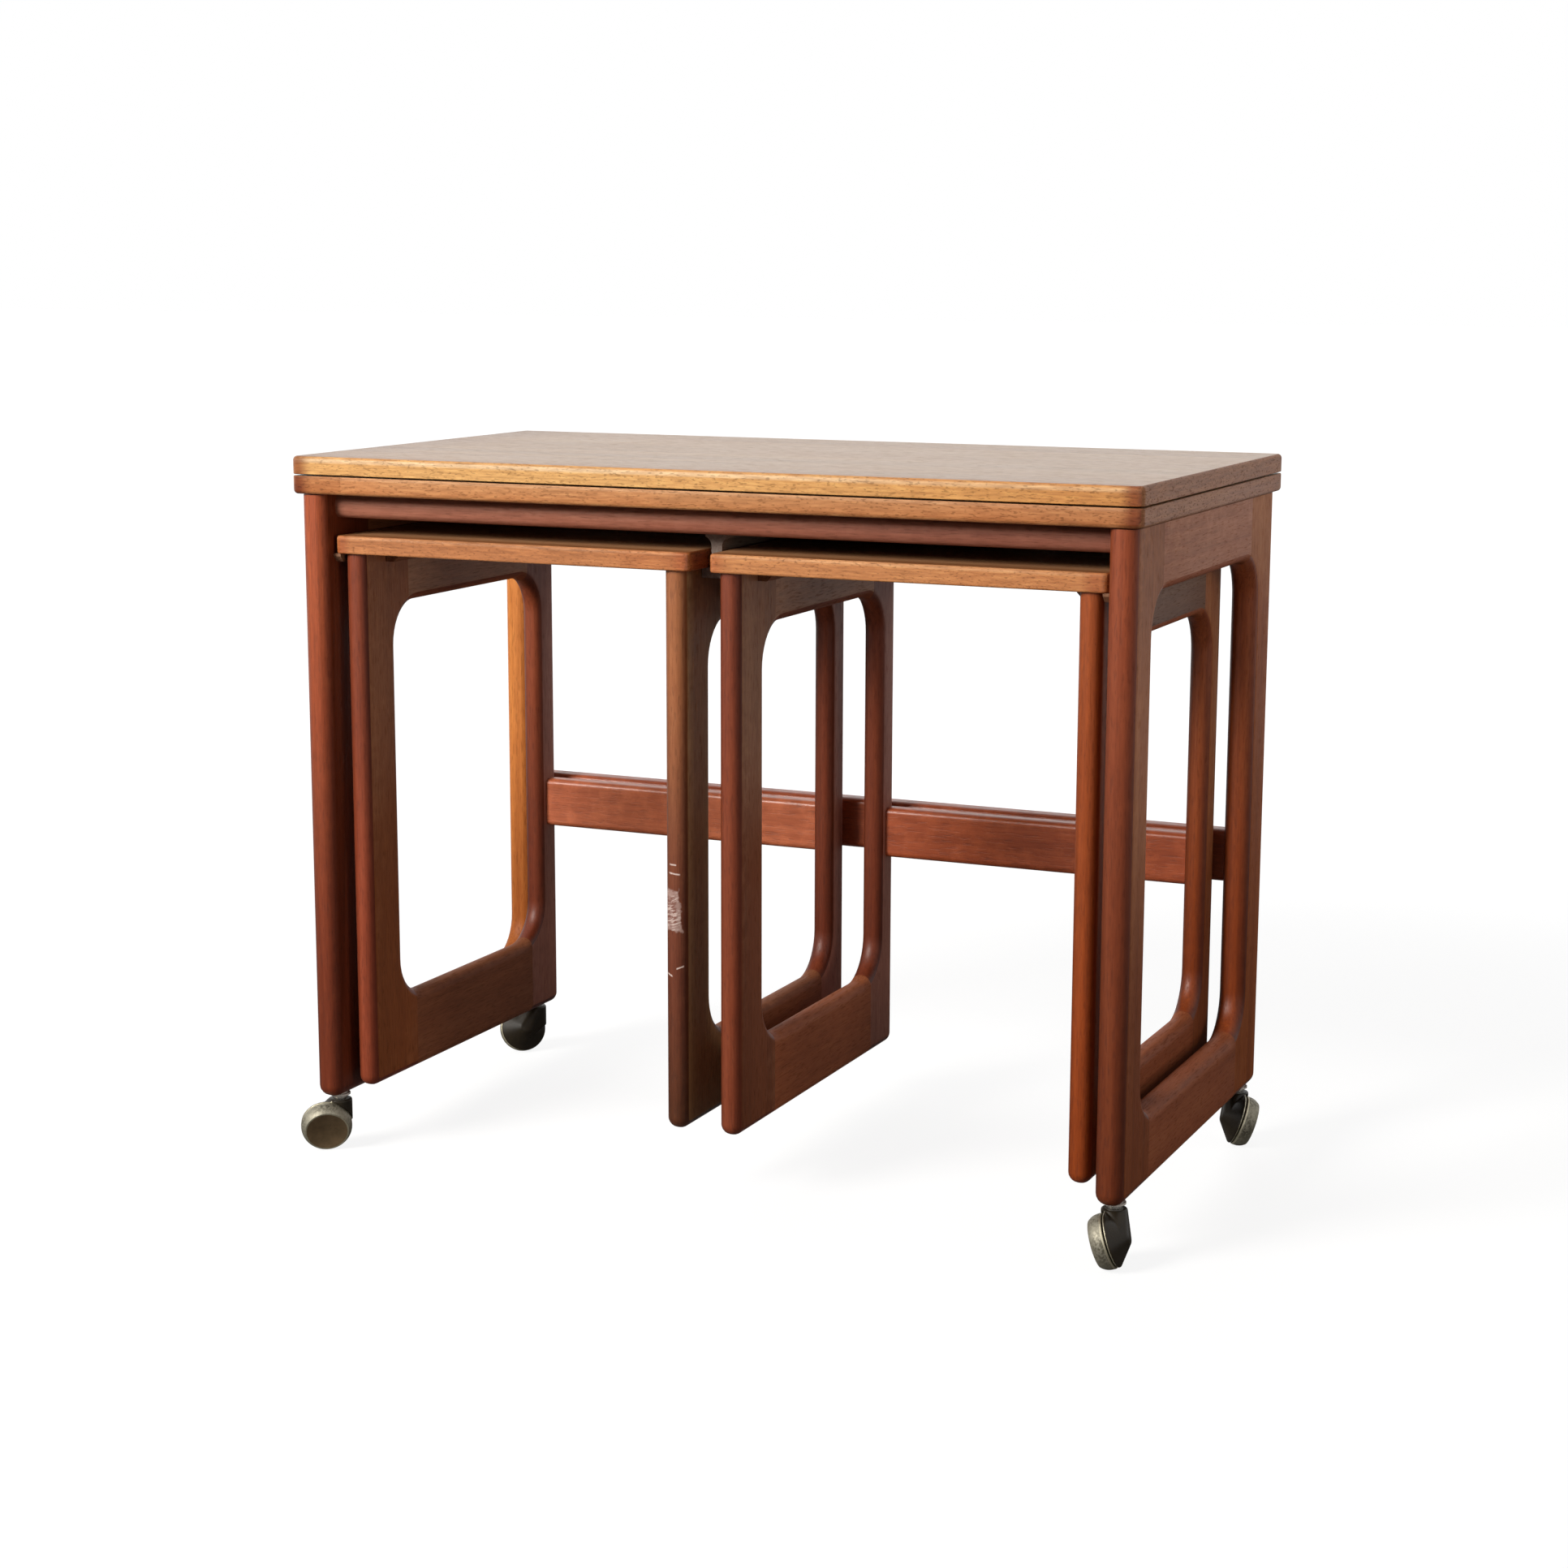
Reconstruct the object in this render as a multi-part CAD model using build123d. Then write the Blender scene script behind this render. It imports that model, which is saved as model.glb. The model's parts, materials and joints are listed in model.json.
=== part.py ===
from build123d import *
from dataclasses import dataclass
import math
import os

# Nest of tables: a wheeled main table with a folding swivel top, and two small tables hung beneath it.
# Millimetres. The origin is on the floor under the middle of the main table, +Y to the back, +Z up.

# Folding top
TOP_W = 730.0
TOP_D = 392.0
TOP_H = 596.7
LEAF_T = 15.0
LEAF_GAP = 1.2
LEAF_CORNER_R = 6.0
UPPER_LEAF_ARRIS_R = 2.0
LOWER_LEAF_ARRIS_R = 2.6
UPPER_LEAF_Z = TOP_H - LEAF_T
LOWER_LEAF_Z = UPPER_LEAF_Z - LEAF_GAP - LEAF_T

# Leaf hinges
HINGE_FROM_END = 130.0
HINGE_X = TOP_W / 2 - HINGE_FROM_END
HINGE_OUT = 2.0
HINGE_Y = TOP_D / 2 + HINGE_OUT
HINGE_Z = UPPER_LEAF_Z - LEAF_GAP / 2
KNUCKLE_R = 2.6
KNUCKLES = 3
KNUCKLE_GAP = 0.3
PIN_R = 1.2
PLATE_L = 60.0
PLATE_H = 10.5
PLATE_T = 1.4
PLATE_RISE = 2.8
PLATE_SCREW_STEP = 22.0
PLATE_SCREWS = 3

# Fits
RUN_FIT = 0.05
GLUE_FIT = 0.1

# Side frames and aprons of the main table, set back from the edges of the top
FRAME_OVERHANG = 5.0
FRAME_SETBACK = 4.0
FRAME_T = 23.0
FRAME_X = TOP_W / 2 - FRAME_OVERHANG
FRAME_Y = TOP_D / 2 - FRAME_SETBACK
FRAME_IN = FRAME_X - FRAME_T
FRAME_MID = FRAME_X - FRAME_T / 2
APRON_SETBACK = 22.0
APRON_T = 20.0
APRON_H = 19.4
APRON_LOW = 1.4
APRON_NOSE_R = 8.0
APRON_BACK_R = 2.0
APRON_TOP = LOWER_LEAF_Z - APRON_LOW
REAR_APRON_H = 55.0
REAR_SETBACK = 15.0

# Pivot board between the aprons
BOARD_LEFT = 40.0
BOARD_PAST_PIVOT = 51.0
BOARD_T = 18.0
BOARD_UNDER = APRON_TOP - BOARD_T
TONGUE_L = 8.0
TONGUE_SHARE = 0.34

# Swivel pivot of the lower leaf, placed so that the opened top is central
PIVOT_X = HINGE_Y / 2
PIVOT_Y = HINGE_Y / 2
PIVOT_PLATE_R = 30.0
PIVOT_PLATE_T = 3.0
PIVOT_SCREW_R = 21.0
PIVOT_SCREWS = 4
BUSH_R = 8.0
WASHER_R = 14.0
WASHER_T = 2.0
NUT_ACROSS = 17.0
NUT_T = 5.0
STUD_R = 5.0
STUD_PAST_NUT = 2.6
STUD_UNDER = BOARD_UNDER - WASHER_T - NUT_T - STUD_PAST_NUT

# Main rear stretcher
STRETCHER_EDGE_R = 5.0
STRETCHER_Z = 232.7
MAIN_STRETCHER_T = 20.0
MAIN_STRETCHER_H = 45.0

# Centre runner and side runners that the small tops hang on
SMALL_TOP_CLEAR = 5.6
SMALL_TOP_Z = STUD_UNDER - SMALL_TOP_CLEAR
SMALL_TOP_T = 15.0
SMALL_TOP_UNDER = SMALL_TOP_Z - SMALL_TOP_T
RUNNER_HEAD_HALF = 10.1
RUNNER_HEAD_T = 5.4
RUNNER_WEB_HALF = 4.6
RUNNER_WEB_CLEAR = 2.3
RUNNER_LEDGE = 4.8
RUNNER_FLANGE_T = 8.0
RUNNER_FRONT_CLEAR = 8.0
RUNNER_REAR_CLEAR = 7.0
RUNNER_SCREW_STEP = 110.0
SIDE_RUNNER_W = 6.8
SIDE_RUNNER_T = 7.0
SIDE_RUNNER_SETBACK = 14.0
SIDE_RUNNER_REAR_CLEAR = 1.0
SIDE_RUNNER_NOSE = 4.5
SIDE_RUNNER_IN = FRAME_IN - SIDE_RUNNER_W
SIDE_RUNNER_Z = SMALL_TOP_UNDER - SIDE_RUNNER_T / 2
SIDE_SCREW_FROM_FRONT = 10.0
SIDE_SCREW_FROM_REAR = 8.0

# Small tables
SMALL_WEB_CLEAR = 3.6
SMALL_SIDE_CLEAR = 2.0
SMALL_FRONT_SETBACK = 16.0
SMALL_BACK_CLEAR = 2.0
SMALL_TOP_IN = RUNNER_WEB_HALF + SMALL_WEB_CLEAR
SMALL_TOP_OUT = FRAME_IN - SMALL_SIDE_CLEAR
SMALL_TOP_HALF = (SMALL_TOP_OUT - SMALL_TOP_IN) / 2
SMALL_MID = (SMALL_TOP_IN + SMALL_TOP_OUT) / 2
SMALL_TOP_CORNER_R = 6.5
SMALL_TOP_ARRIS_R = 2.5
SMALL_OVERHANG_X = 6.2
SMALL_OVERHANG_Y = 4.0
SMALL_FRAME_T = 19.0
SMALL_FRAME_OUT = SMALL_TOP_HALF - SMALL_OVERHANG_X
SMALL_FRAME_IN = SMALL_FRAME_OUT - SMALL_FRAME_T
SMALL_FRAME_MID = SMALL_FRAME_OUT - SMALL_FRAME_T / 2
SMALL_FOOT_Z = 59.2
SMALL_STRETCHER_T = 17.0
SMALL_STRETCHER_H = 44.5
SMALL_STRETCHER_SETBACK = 4.5
BLOCK_W = 12.0
BLOCK_H = 9.0
BLOCK_L = 50.0
BLOCK_CHAMFER = 4.0
BLOCK_FROM_FRONT = 60.0
BLOCK_FROM_REAR = 73.0
BLOCK_UNDER = SMALL_TOP_UNDER - BLOCK_H

# Screws
SCREW_R = 1.5
SCREW_HEAD_R = 2.9
SCREW_HEAD_T = 1.4
LEAF_SCREW_L = 12.0
RUNNER_SCREW_BITE = 12.0
SIDE_SCREW_BITE = 8.2
BLOCK_SCREW_BITE = 9.0

# Glide pads under the lower leaf
PAD_R = 6.0
PAD_T = 2.0
PAD_PROUD = 0.8
PAD_STEP = 90.0

# Joinery
JOINT_INSET = 20.0
TENON_L = 25.0
TENON_ROOT = 6.0
TENON_THICK_SHARE = 0.36
TENON_HEIGHT_SHARE = 0.55
BAR_TENON_L = 12.0
BAR_TENON_SHARE = 0.5

# Caster wheels
WHEEL_LEAN_DEGREES = 19.0
WHEEL_R = 21.8
WHEEL_BACK = 0.4
TREAD_END = 3.3
FACE_S = 12.0
FACE_DROP = 3.2
FACE_R = WHEEL_R - FACE_DROP
FACE_LIP = 1.2
TREAD_CURVE_R = ((FACE_S - TREAD_END) ** 2 + FACE_DROP**2) / (2 * FACE_DROP)
AXLE_R = 3.0
AXLE_END = 7.3
AXLE_END_CLEAR = 0.3
BORE_END = AXLE_END + AXLE_END_CLEAR
HUB_FACE_T = 1.2
DISH_S = BORE_END + HUB_FACE_T
WHEEL_HUB_R = 7.0
RIM_T = 3.2
WEB_T = 2.8
WHEEL_ROOM = 0.8
BALL_ALONG = 1.0
BALL_TRAIL = 12.2

# Caster hoods and stems
HOOD_EDGE = 0.6
HOOD_STEP = 0.3
HOOD_R = WHEEL_R - HOOD_STEP
HOOD_LIP = 1.8
HOOD_DEPTH = 15.8
HOOD_WALL = 2.4
HOOD_APEX_R = 5.0
HOOD_APEX_EDGE_R = 3.0
HOOD_HUB_R = 5.6
HOOD_HUB_CLEAR = 1.5
NECK_R = 10.3
NECK_ABOVE_WHEEL = 1.7
NECK_EDGE_R = 2.0
NECK_TIP_R = 4.0
NECK_TIP_DROP = 9.0
NECK_SPREAD = 3.0
COLLAR_R = 6.4
COLLAR_H = 3.2
COLLAR_CLEAR = 0.3
STEM_SETBACK = 20.0
STEM_Y = FRAME_Y - STEM_SETBACK
STEM_R = 5.0
STEM_IN = 32.0
SOCKET_R = 6.5
SOCKET_HEADROOM = 3.0
SOCKET_CROWN_T = 5.0
SOCKET_FLANGE_R = 9.0
SOCKET_FLANGE_T = 1.5
CUT_REACH = 40.0


def ball_height():
    """Height of the middle of the leaning wheel when its tread stands on the floor."""
    lean = math.radians(WHEEL_LEAN_DEGREES)
    return TREAD_END * math.sin(lean) + (WHEEL_R - TREAD_CURVE_R) * math.cos(lean) + TREAD_CURVE_R


BALL_Z = ball_height()
NECK_TOP = BALL_Z + WHEEL_R * math.cos(math.radians(WHEEL_LEAN_DEGREES)) + NECK_ABOVE_WHEEL
COLLAR_TOP = NECK_TOP + COLLAR_H
FRAME_FOOT = COLLAR_TOP + COLLAR_CLEAR + SOCKET_FLANGE_T
STEM_TOP = FRAME_FOOT + STEM_IN
SOCKET_BORE_TOP = STEM_TOP + SOCKET_HEADROOM
SOCKET_TOP = SOCKET_BORE_TOP + SOCKET_CROWN_T

# Casters: name, side of the table in x and y, hand of the casting, and the direction that the wheel faces
CASTERS = (
    ("front_left", -1, -1, -1),
    ("front_right", 1, -1, 1),
    ("rear_left", -1, 1, 1),
    ("rear_right", 1, 1, -1),
)
FACING_DEGREES = {"front_left": -55.0, "front_right": -169.4, "rear_left": 136.0, "rear_right": 21.4}


@dataclass(frozen=True)
class FrameSize:
    """One side frame: two stiles and two rails round a window with rounded corners."""

    thick: float
    y_front: float
    y_rear: float
    z_foot: float
    z_top: float
    front_stile: float
    rear_stile: float
    top_rail: float
    bottom_rail: float
    window_r: float
    foot_r: float
    arris_r: float

    @property
    def window_front(self):
        return self.y_front + self.front_stile

    @property
    def window_rear(self):
        return self.y_rear - self.rear_stile

    @property
    def window_low(self):
        return self.z_foot + self.bottom_rail

    @property
    def window_high(self):
        return self.z_top - self.top_rail

    @property
    def joint_front(self):
        return self.window_front + JOINT_INSET

    @property
    def joint_rear(self):
        return self.window_rear - JOINT_INSET


# Spans of the bars and boards
APRON_SPAN_X = (-FRAME_IN, FRAME_IN)
APRON_FRONT = APRON_SETBACK - TOP_D / 2
APRON_SPAN_Y = (APRON_FRONT, APRON_FRONT + APRON_T)
APRON_SPAN_Z = (APRON_TOP - APRON_H, APRON_TOP)
REAR_APRON_SPAN_Y = (FRAME_Y - REAR_SETBACK - APRON_T, FRAME_Y - REAR_SETBACK)
REAR_APRON_SPAN_Z = (APRON_TOP - REAR_APRON_H, APRON_TOP)
BOARD_SPAN_X = (-BOARD_LEFT, PIVOT_X + BOARD_PAST_PIVOT)
BOARD_SPAN_Y = (APRON_SPAN_Y[1], REAR_APRON_SPAN_Y[0])
MAIN_STRETCHER_SPAN_Y = (FRAME_Y - REAR_SETBACK - MAIN_STRETCHER_T, FRAME_Y - REAR_SETBACK)
MAIN_STRETCHER_SPAN_Z = (STRETCHER_Z, STRETCHER_Z + MAIN_STRETCHER_H)
SMALL_TOP_SPAN_Y = (SMALL_FRONT_SETBACK - TOP_D / 2, REAR_APRON_SPAN_Y[0] - SMALL_BACK_CLEAR)
RUNNER_SPAN_Y = (BOARD_SPAN_Y[0] + RUNNER_FRONT_CLEAR, BOARD_SPAN_Y[1] - RUNNER_REAR_CLEAR)

MAIN = FrameSize(
    thick=FRAME_T, y_front=-FRAME_Y, y_rear=FRAME_Y, z_foot=FRAME_FOOT, z_top=LOWER_LEAF_Z - PAD_PROUD,
    front_stile=48.0, rear_stile=50.0, top_rail=52.5, bottom_rail=57.5,
    window_r=33.0, foot_r=10.0, arris_r=8.5,
)
SMALL = FrameSize(
    thick=SMALL_FRAME_T, y_front=SMALL_TOP_SPAN_Y[0] + SMALL_OVERHANG_Y,
    y_rear=SMALL_TOP_SPAN_Y[1] - SMALL_OVERHANG_Y, z_foot=SMALL_FOOT_Z, z_top=SMALL_TOP_UNDER,
    front_stile=50.0, rear_stile=32.0, top_rail=46.2, bottom_rail=67.9,
    window_r=35.0, foot_r=9.0, arris_r=7.5,
)
SMALL_STRETCHER_BACK = SMALL.y_rear - SMALL_STRETCHER_SETBACK
SMALL_STRETCHER_SPAN_Y = (SMALL_STRETCHER_BACK - SMALL_STRETCHER_T, SMALL_STRETCHER_BACK)
SMALL_STRETCHER_SPAN_Z = (STRETCHER_Z, STRETCHER_Z + SMALL_STRETCHER_H)
BLOCK_Y = (SMALL.y_front + BLOCK_FROM_FRONT, SMALL.y_rear - BLOCK_FROM_REAR)
RUNNER_SCREW_Y = (-RUNNER_SCREW_STEP, 0.0, RUNNER_SCREW_STEP)
SIDE_RUNNER_SPAN_Y = (SIDE_RUNNER_SETBACK - FRAME_Y, REAR_APRON_SPAN_Y[0] - SIDE_RUNNER_REAR_CLEAR)
SIDE_SCREW_Y = (SIDE_RUNNER_SPAN_Y[0] + SIDE_SCREW_FROM_FRONT, SIDE_RUNNER_SPAN_Y[1] - SIDE_SCREW_FROM_REAR)
PAD_Y = (-PAD_STEP, 0.0, PAD_STEP)


def span_box(x, y, z, grow=0.0):
    """A box between pairs of coordinates, grown on every side."""
    spans = [sorted(span) for span in (x, y, z)]
    size = [high - low + 2 * grow for low, high in spans]
    mid = [(low + high) / 2 for low, high in spans]
    return Pos(*mid) * Box(*size)


def middle(span, share):
    """The central share of a span."""
    low, high = span
    half = (high - low) * share / 2
    return (low + high) / 2 - half, (low + high) / 2 + half


def around(mid, length):
    """A span of a given length about its middle."""
    return mid - length / 2, mid + length / 2


def screw(length, grow=0.0):
    """A countersunk screw, its head's face at the origin and its shank along -Z."""
    head = Pos(0, 0, -SCREW_HEAD_T / 2) * Cone(SCREW_R + grow, SCREW_HEAD_R + grow, SCREW_HEAD_T)
    shank = Pos(0, 0, -(length + grow) / 2) * Cylinder(SCREW_R + grow, length + grow)
    return head + shank


def group(shapes):
    """Separate solids that make one named piece together."""
    return Compound(children=[solid for shape in shapes for solid in shape.solids()])


# Side frames


def frame_blank(size):
    """The whole rounded frame, before it is cut into stiles and rails."""
    outline = Pos((size.y_front + size.y_rear) / 2, (size.z_foot + size.z_top) / 2) * Rectangle(
        size.y_rear - size.y_front, size.z_top - size.z_foot
    )
    outline = fillet(outline.vertices().group_by(Axis.Y)[0], size.foot_r)
    window = Pos(
        (size.window_front + size.window_rear) / 2, (size.window_low + size.window_high) / 2
    ) * RectangleRounded(
        size.window_rear - size.window_front, size.window_high - size.window_low, size.window_r
    )
    blank = extrude(Plane.YZ * (outline - window), size.thick / 2, both=True)
    arrises = blank.faces().filter_by(Axis.X).edges()
    arrises = arrises.filter_by(lambda edge: edge.center().Z < size.z_top - size.arris_r)
    return fillet(arrises, size.arris_r)


def rail_tenons(size, rail, grow=0.0):
    """The tenons at both ends of a rail, front first."""
    x = middle((-size.thick / 2, size.thick / 2), TENON_THICK_SHARE)
    z = middle(rail, TENON_HEIGHT_SHARE)
    front = span_box(x, (size.joint_front - TENON_L, size.joint_front + TENON_ROOT), z, grow)
    rear = span_box(x, (size.joint_rear + TENON_L, size.joint_rear - TENON_ROOT), z, grow)
    return front, rear


def frame_pieces(size):
    """Front stile, rear stile, top rail and bottom rail of a frame, fitted together about x = 0."""
    blank = frame_blank(size)
    x = (-size.thick, size.thick)
    z = (0, TOP_H)
    front = blank & span_box(x, (-TOP_D, size.joint_front), z)
    rear = blank & span_box(x, (size.joint_rear, TOP_D), z)
    rails = blank & span_box(x, (size.joint_front, size.joint_rear), z)
    bottom, top = rails.solids().sort_by(Axis.Z)
    bottom_span = (size.z_foot, size.window_low)
    top_span = (size.window_high, size.z_top)
    for span in (bottom_span, top_span):
        front_room, rear_room = rail_tenons(size, span, GLUE_FIT)
        front -= front_room
        rear -= rear_room
    for tenon in rail_tenons(size, bottom_span):
        bottom += tenon
    for tenon in rail_tenons(size, top_span):
        top += tenon
    return {"front_stile": front, "rear_stile": rear, "top_rail": top, "bottom_rail": bottom}


# Bars between frames


def bar_tenons(x, y, z, grow=0.0):
    """The tenons at both ends of a bar along X."""
    y_mid = middle(y, BAR_TENON_SHARE)
    z_mid = middle(z, BAR_TENON_SHARE)
    left = span_box((x[0] - BAR_TENON_L, x[0] + TENON_ROOT), y_mid, z_mid, grow)
    right = span_box((x[1] - TENON_ROOT, x[1] + BAR_TENON_L), y_mid, z_mid, grow)
    return left, right


def stretcher(x, y, z):
    """A rounded bar with a tenon at each end."""
    bar = span_box(x, y, z)
    bar = fillet(bar.edges().filter_by(Axis.X), STRETCHER_EDGE_R)
    left, right = bar_tenons(x, y, z)
    return bar + left + right


def board_tongues(grow=0.0):
    """The pivot board with a tongue along its front and back ends."""
    z = middle((BOARD_UNDER, APRON_TOP), TONGUE_SHARE)
    return span_box(BOARD_SPAN_X, (BOARD_SPAN_Y[0] - TONGUE_L, BOARD_SPAN_Y[1] + TONGUE_L), z, grow)


def apron(y, z, nose):
    """An apron, nosed on the outer face and eased on the inner one; the nose is -1 for front, 1 for rear."""
    bar = span_box(APRON_SPAN_X, y, z)
    outer, inner = (0, -1) if nose < 0 else (-1, 0)
    bar = fillet(bar.edges().filter_by(Axis.X).group_by(Axis.Y)[outer], APRON_NOSE_R)
    bar = fillet(bar.edges().filter_by(Axis.X).group_by(Axis.Y)[inner], APRON_BACK_R)
    left, right = bar_tenons(APRON_SPAN_X, y, z)
    return bar + left + right - board_tongues(GLUE_FIT)


def centre_runner():
    """The runner under the pivot board: a coved head, a web and a flange that both small tops hang on."""
    cove_z = BOARD_UNDER - RUNNER_HEAD_T
    web_z = SMALL_TOP_Z + RUNNER_WEB_CLEAR
    flange_half = SMALL_TOP_IN + RUNNER_LEDGE
    flange_under = SMALL_TOP_UNDER - RUNNER_FLANGE_T
    head = Polyline((0, BOARD_UNDER), (RUNNER_HEAD_HALF, BOARD_UNDER), (RUNNER_HEAD_HALF, cove_z))
    cove = TangentArc((RUNNER_WEB_HALF, web_z), (RUNNER_HEAD_HALF, cove_z), tangent=(0, 1))
    foot = Polyline(
        (RUNNER_WEB_HALF, web_z),
        (RUNNER_WEB_HALF, SMALL_TOP_UNDER),
        (flange_half, SMALL_TOP_UNDER),
        (flange_half, flange_under),
        (0, flange_under),
        (0, BOARD_UNDER),
    )
    half = make_face(head + cove + foot)
    section = half + mirror(half, Plane.YZ)
    front, back = RUNNER_SPAN_Y
    return Pos(0, back, 0) * extrude(Plane.XZ * section, back - front)


def side_runner(side):
    """A ledge on a main frame's inner face, ramped below at both ends."""
    z = (SMALL_TOP_UNDER - SIDE_RUNNER_T, SMALL_TOP_UNDER)
    strip = span_box((side * SIDE_RUNNER_IN, side * FRAME_IN), SIDE_RUNNER_SPAN_Y, z)
    ends = strip.edges().filter_by(Axis.X).group_by(Axis.Z)[0]
    return chamfer(ends, SIDE_RUNNER_NOSE)


def side_screws(side, grow=0.0):
    """The screws that hold a side runner to the stiles."""
    turn = Rot(0, -side * 90, 0)
    return [
        Pos(side * SIDE_RUNNER_IN, y, SIDE_RUNNER_Z) * turn * screw(SIDE_RUNNER_W + SIDE_SCREW_BITE, grow)
        for y in SIDE_SCREW_Y
    ]


def board_screws(grow=0.0):
    """The screws down through the pivot board into the centre runner."""
    return [Pos(0, y, APRON_TOP) * screw(BOARD_T + RUNNER_SCREW_BITE, grow) for y in RUNNER_SCREW_Y]


def glide_pads(side, grow=0.0):
    """The discs let into a top rail that the lower leaf turns on."""
    z = LOWER_LEAF_Z - PAD_T / 2
    return [Pos(side * FRAME_MID, y, z) * Cylinder(PAD_R + grow, PAD_T + grow) for y in PAD_Y]


# Folding top


def leaf_blank(z_low, arris_r):
    """A leaf with eased corners and arrises."""
    board = Pos(0, 0, z_low + LEAF_T / 2) * Box(TOP_W, TOP_D, LEAF_T)
    board = fillet(board.edges().filter_by(Axis.Z), LEAF_CORNER_R)
    return fillet(board.faces().filter_by(Axis.Z).edges(), arris_r)


def plate_screws(x_mid, up, grow=0.0):
    """The screws of one hinge plate, driven into the leaf's rear edge."""
    z = HINGE_Z + up * (PLATE_RISE + PLATE_H / 2)
    first = -PLATE_SCREW_STEP * (PLATE_SCREWS - 1) / 2
    places = [x_mid + first + PLATE_SCREW_STEP * index for index in range(PLATE_SCREWS)]
    return [Pos(x, TOP_D / 2, z) * Rot(-90, 0, 0) * screw(LEAF_SCREW_L, grow) for x in places]


def hinge_plate(x_mid, up):
    """One plate of a butt hinge with its knuckles: two on the upper plate, one on the lower."""
    x = around(x_mid, PLATE_L)
    y = (TOP_D / 2 - PLATE_T, TOP_D / 2)
    plate = span_box(x, y, (HINGE_Z + up * PLATE_RISE, HINGE_Z + up * (PLATE_RISE + PLATE_H)))
    pitch = PLATE_L / KNUCKLES
    for index in range(KNUCKLES):
        if (index % 2 == 0) != (up > 0):
            continue
        knuckle_x = x[0] + pitch * (index + 1 / 2)
        length = pitch - KNUCKLE_GAP
        barrel = Pos(knuckle_x, HINGE_Y, HINGE_Z) * Rot(0, 90, 0) * Cylinder(KNUCKLE_R, length)
        web_z = (HINGE_Z + up * KNUCKLE_R / 2, HINGE_Z + up * (PLATE_RISE + PLATE_T))
        web = span_box(around(knuckle_x, length), (y[0], HINGE_Y - PIN_R), web_z)
        plate = plate + barrel + web
    plate -= Pos(x_mid, HINGE_Y, HINGE_Z) * Rot(0, 90, 0) * Cylinder(PIN_R + RUN_FIT, PLATE_L)
    for hole in plate_screws(x_mid, up, RUN_FIT):
        plate -= hole
    return plate


def hinge_room(x_mid, up):
    """The recess for one hinge plate in a leaf's rear edge."""
    z = (HINGE_Z, HINGE_Z + up * (PLATE_RISE + PLATE_H))
    return span_box(around(x_mid, PLATE_L), (TOP_D / 2 - PLATE_T, HINGE_Y), z, GLUE_FIT)


def hinged_leaf(z_low, arris_r, up):
    """A leaf with its hinge recesses and screw holes."""
    leaf = leaf_blank(z_low, arris_r)
    for x in (-HINGE_X, HINGE_X):
        leaf -= hinge_room(x, up)
        for hole in plate_screws(x, up, RUN_FIT):
            leaf -= hole
    return leaf


def pivot_screws(grow=0.0):
    """The screws up through the pivot plate into the lower leaf."""
    places = PolarLocations(PIVOT_SCREW_R, PIVOT_SCREWS)
    start = Pos(PIVOT_X, PIVOT_Y, LOWER_LEAF_Z)
    return [start * place * Rot(180, 0, 0) * screw(LEAF_SCREW_L, grow) for place in places]


def pivot_disc(grow=0.0):
    """The pivot plate's disc, let in flush under the lower leaf."""
    z = LOWER_LEAF_Z + PIVOT_PLATE_T / 2
    return Pos(PIVOT_X, PIVOT_Y, z) * Cylinder(PIVOT_PLATE_R + grow, PIVOT_PLATE_T + 2 * grow)


def ring(radius, bore, z_low, z_high):
    """A ring about the pivot."""
    tall = z_high - z_low
    return Pos(PIVOT_X, PIVOT_Y, z_low + tall / 2) * (Cylinder(radius, tall) - Cylinder(bore, tall))


def top_pieces():
    """Both leaves, their hinges and the swivel pivot."""
    lower = hinged_leaf(LOWER_LEAF_Z, LOWER_LEAF_ARRIS_R, -1) - pivot_disc(GLUE_FIT)
    stud_l = LOWER_LEAF_Z - STUD_UNDER
    plate = pivot_disc() + Pos(PIVOT_X, PIVOT_Y, LOWER_LEAF_Z - stud_l / 2) * Cylinder(STUD_R, stud_l)
    for hole in pivot_screws(RUN_FIT):
        lower -= hole
        plate -= hole
    washer_z = BOARD_UNDER - WASHER_T
    nut = extrude(RegularPolygon(NUT_ACROSS / 2, 6, major_radius=False), NUT_T)
    nut -= Pos(0, 0, NUT_T / 2) * Cylinder(STUD_R + GLUE_FIT, NUT_T)
    sides = (-HINGE_X, HINGE_X)
    pins = [Pos(x, HINGE_Y, HINGE_Z) * Rot(0, 90, 0) * Cylinder(PIN_R, PLATE_L) for x in sides]
    lower_screws = [one for x in sides for one in plate_screws(x, -1)] + pivot_screws()
    upper_screws = [one for x in sides for one in plate_screws(x, 1)]
    return {
        "upper_leaf": hinged_leaf(UPPER_LEAF_Z, UPPER_LEAF_ARRIS_R, 1),
        "lower_leaf": lower,
        "upper_hinge_plates": group([hinge_plate(x, 1) for x in sides]),
        "lower_hinge_plates": group([hinge_plate(x, -1) for x in sides]),
        "hinge_pins": group(pins),
        "upper_leaf_screws": group(upper_screws),
        "lower_leaf_screws": group(lower_screws),
        "pivot_plate": plate,
        "pivot_bush": ring(BUSH_R, STUD_R + RUN_FIT, BOARD_UNDER, APRON_TOP),
        "pivot_washer": ring(WASHER_R, STUD_R + GLUE_FIT, washer_z, BOARD_UNDER),
        "pivot_nut": Pos(PIVOT_X, PIVOT_Y, washer_z - NUT_T) * nut,
    }


# Main table


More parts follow.
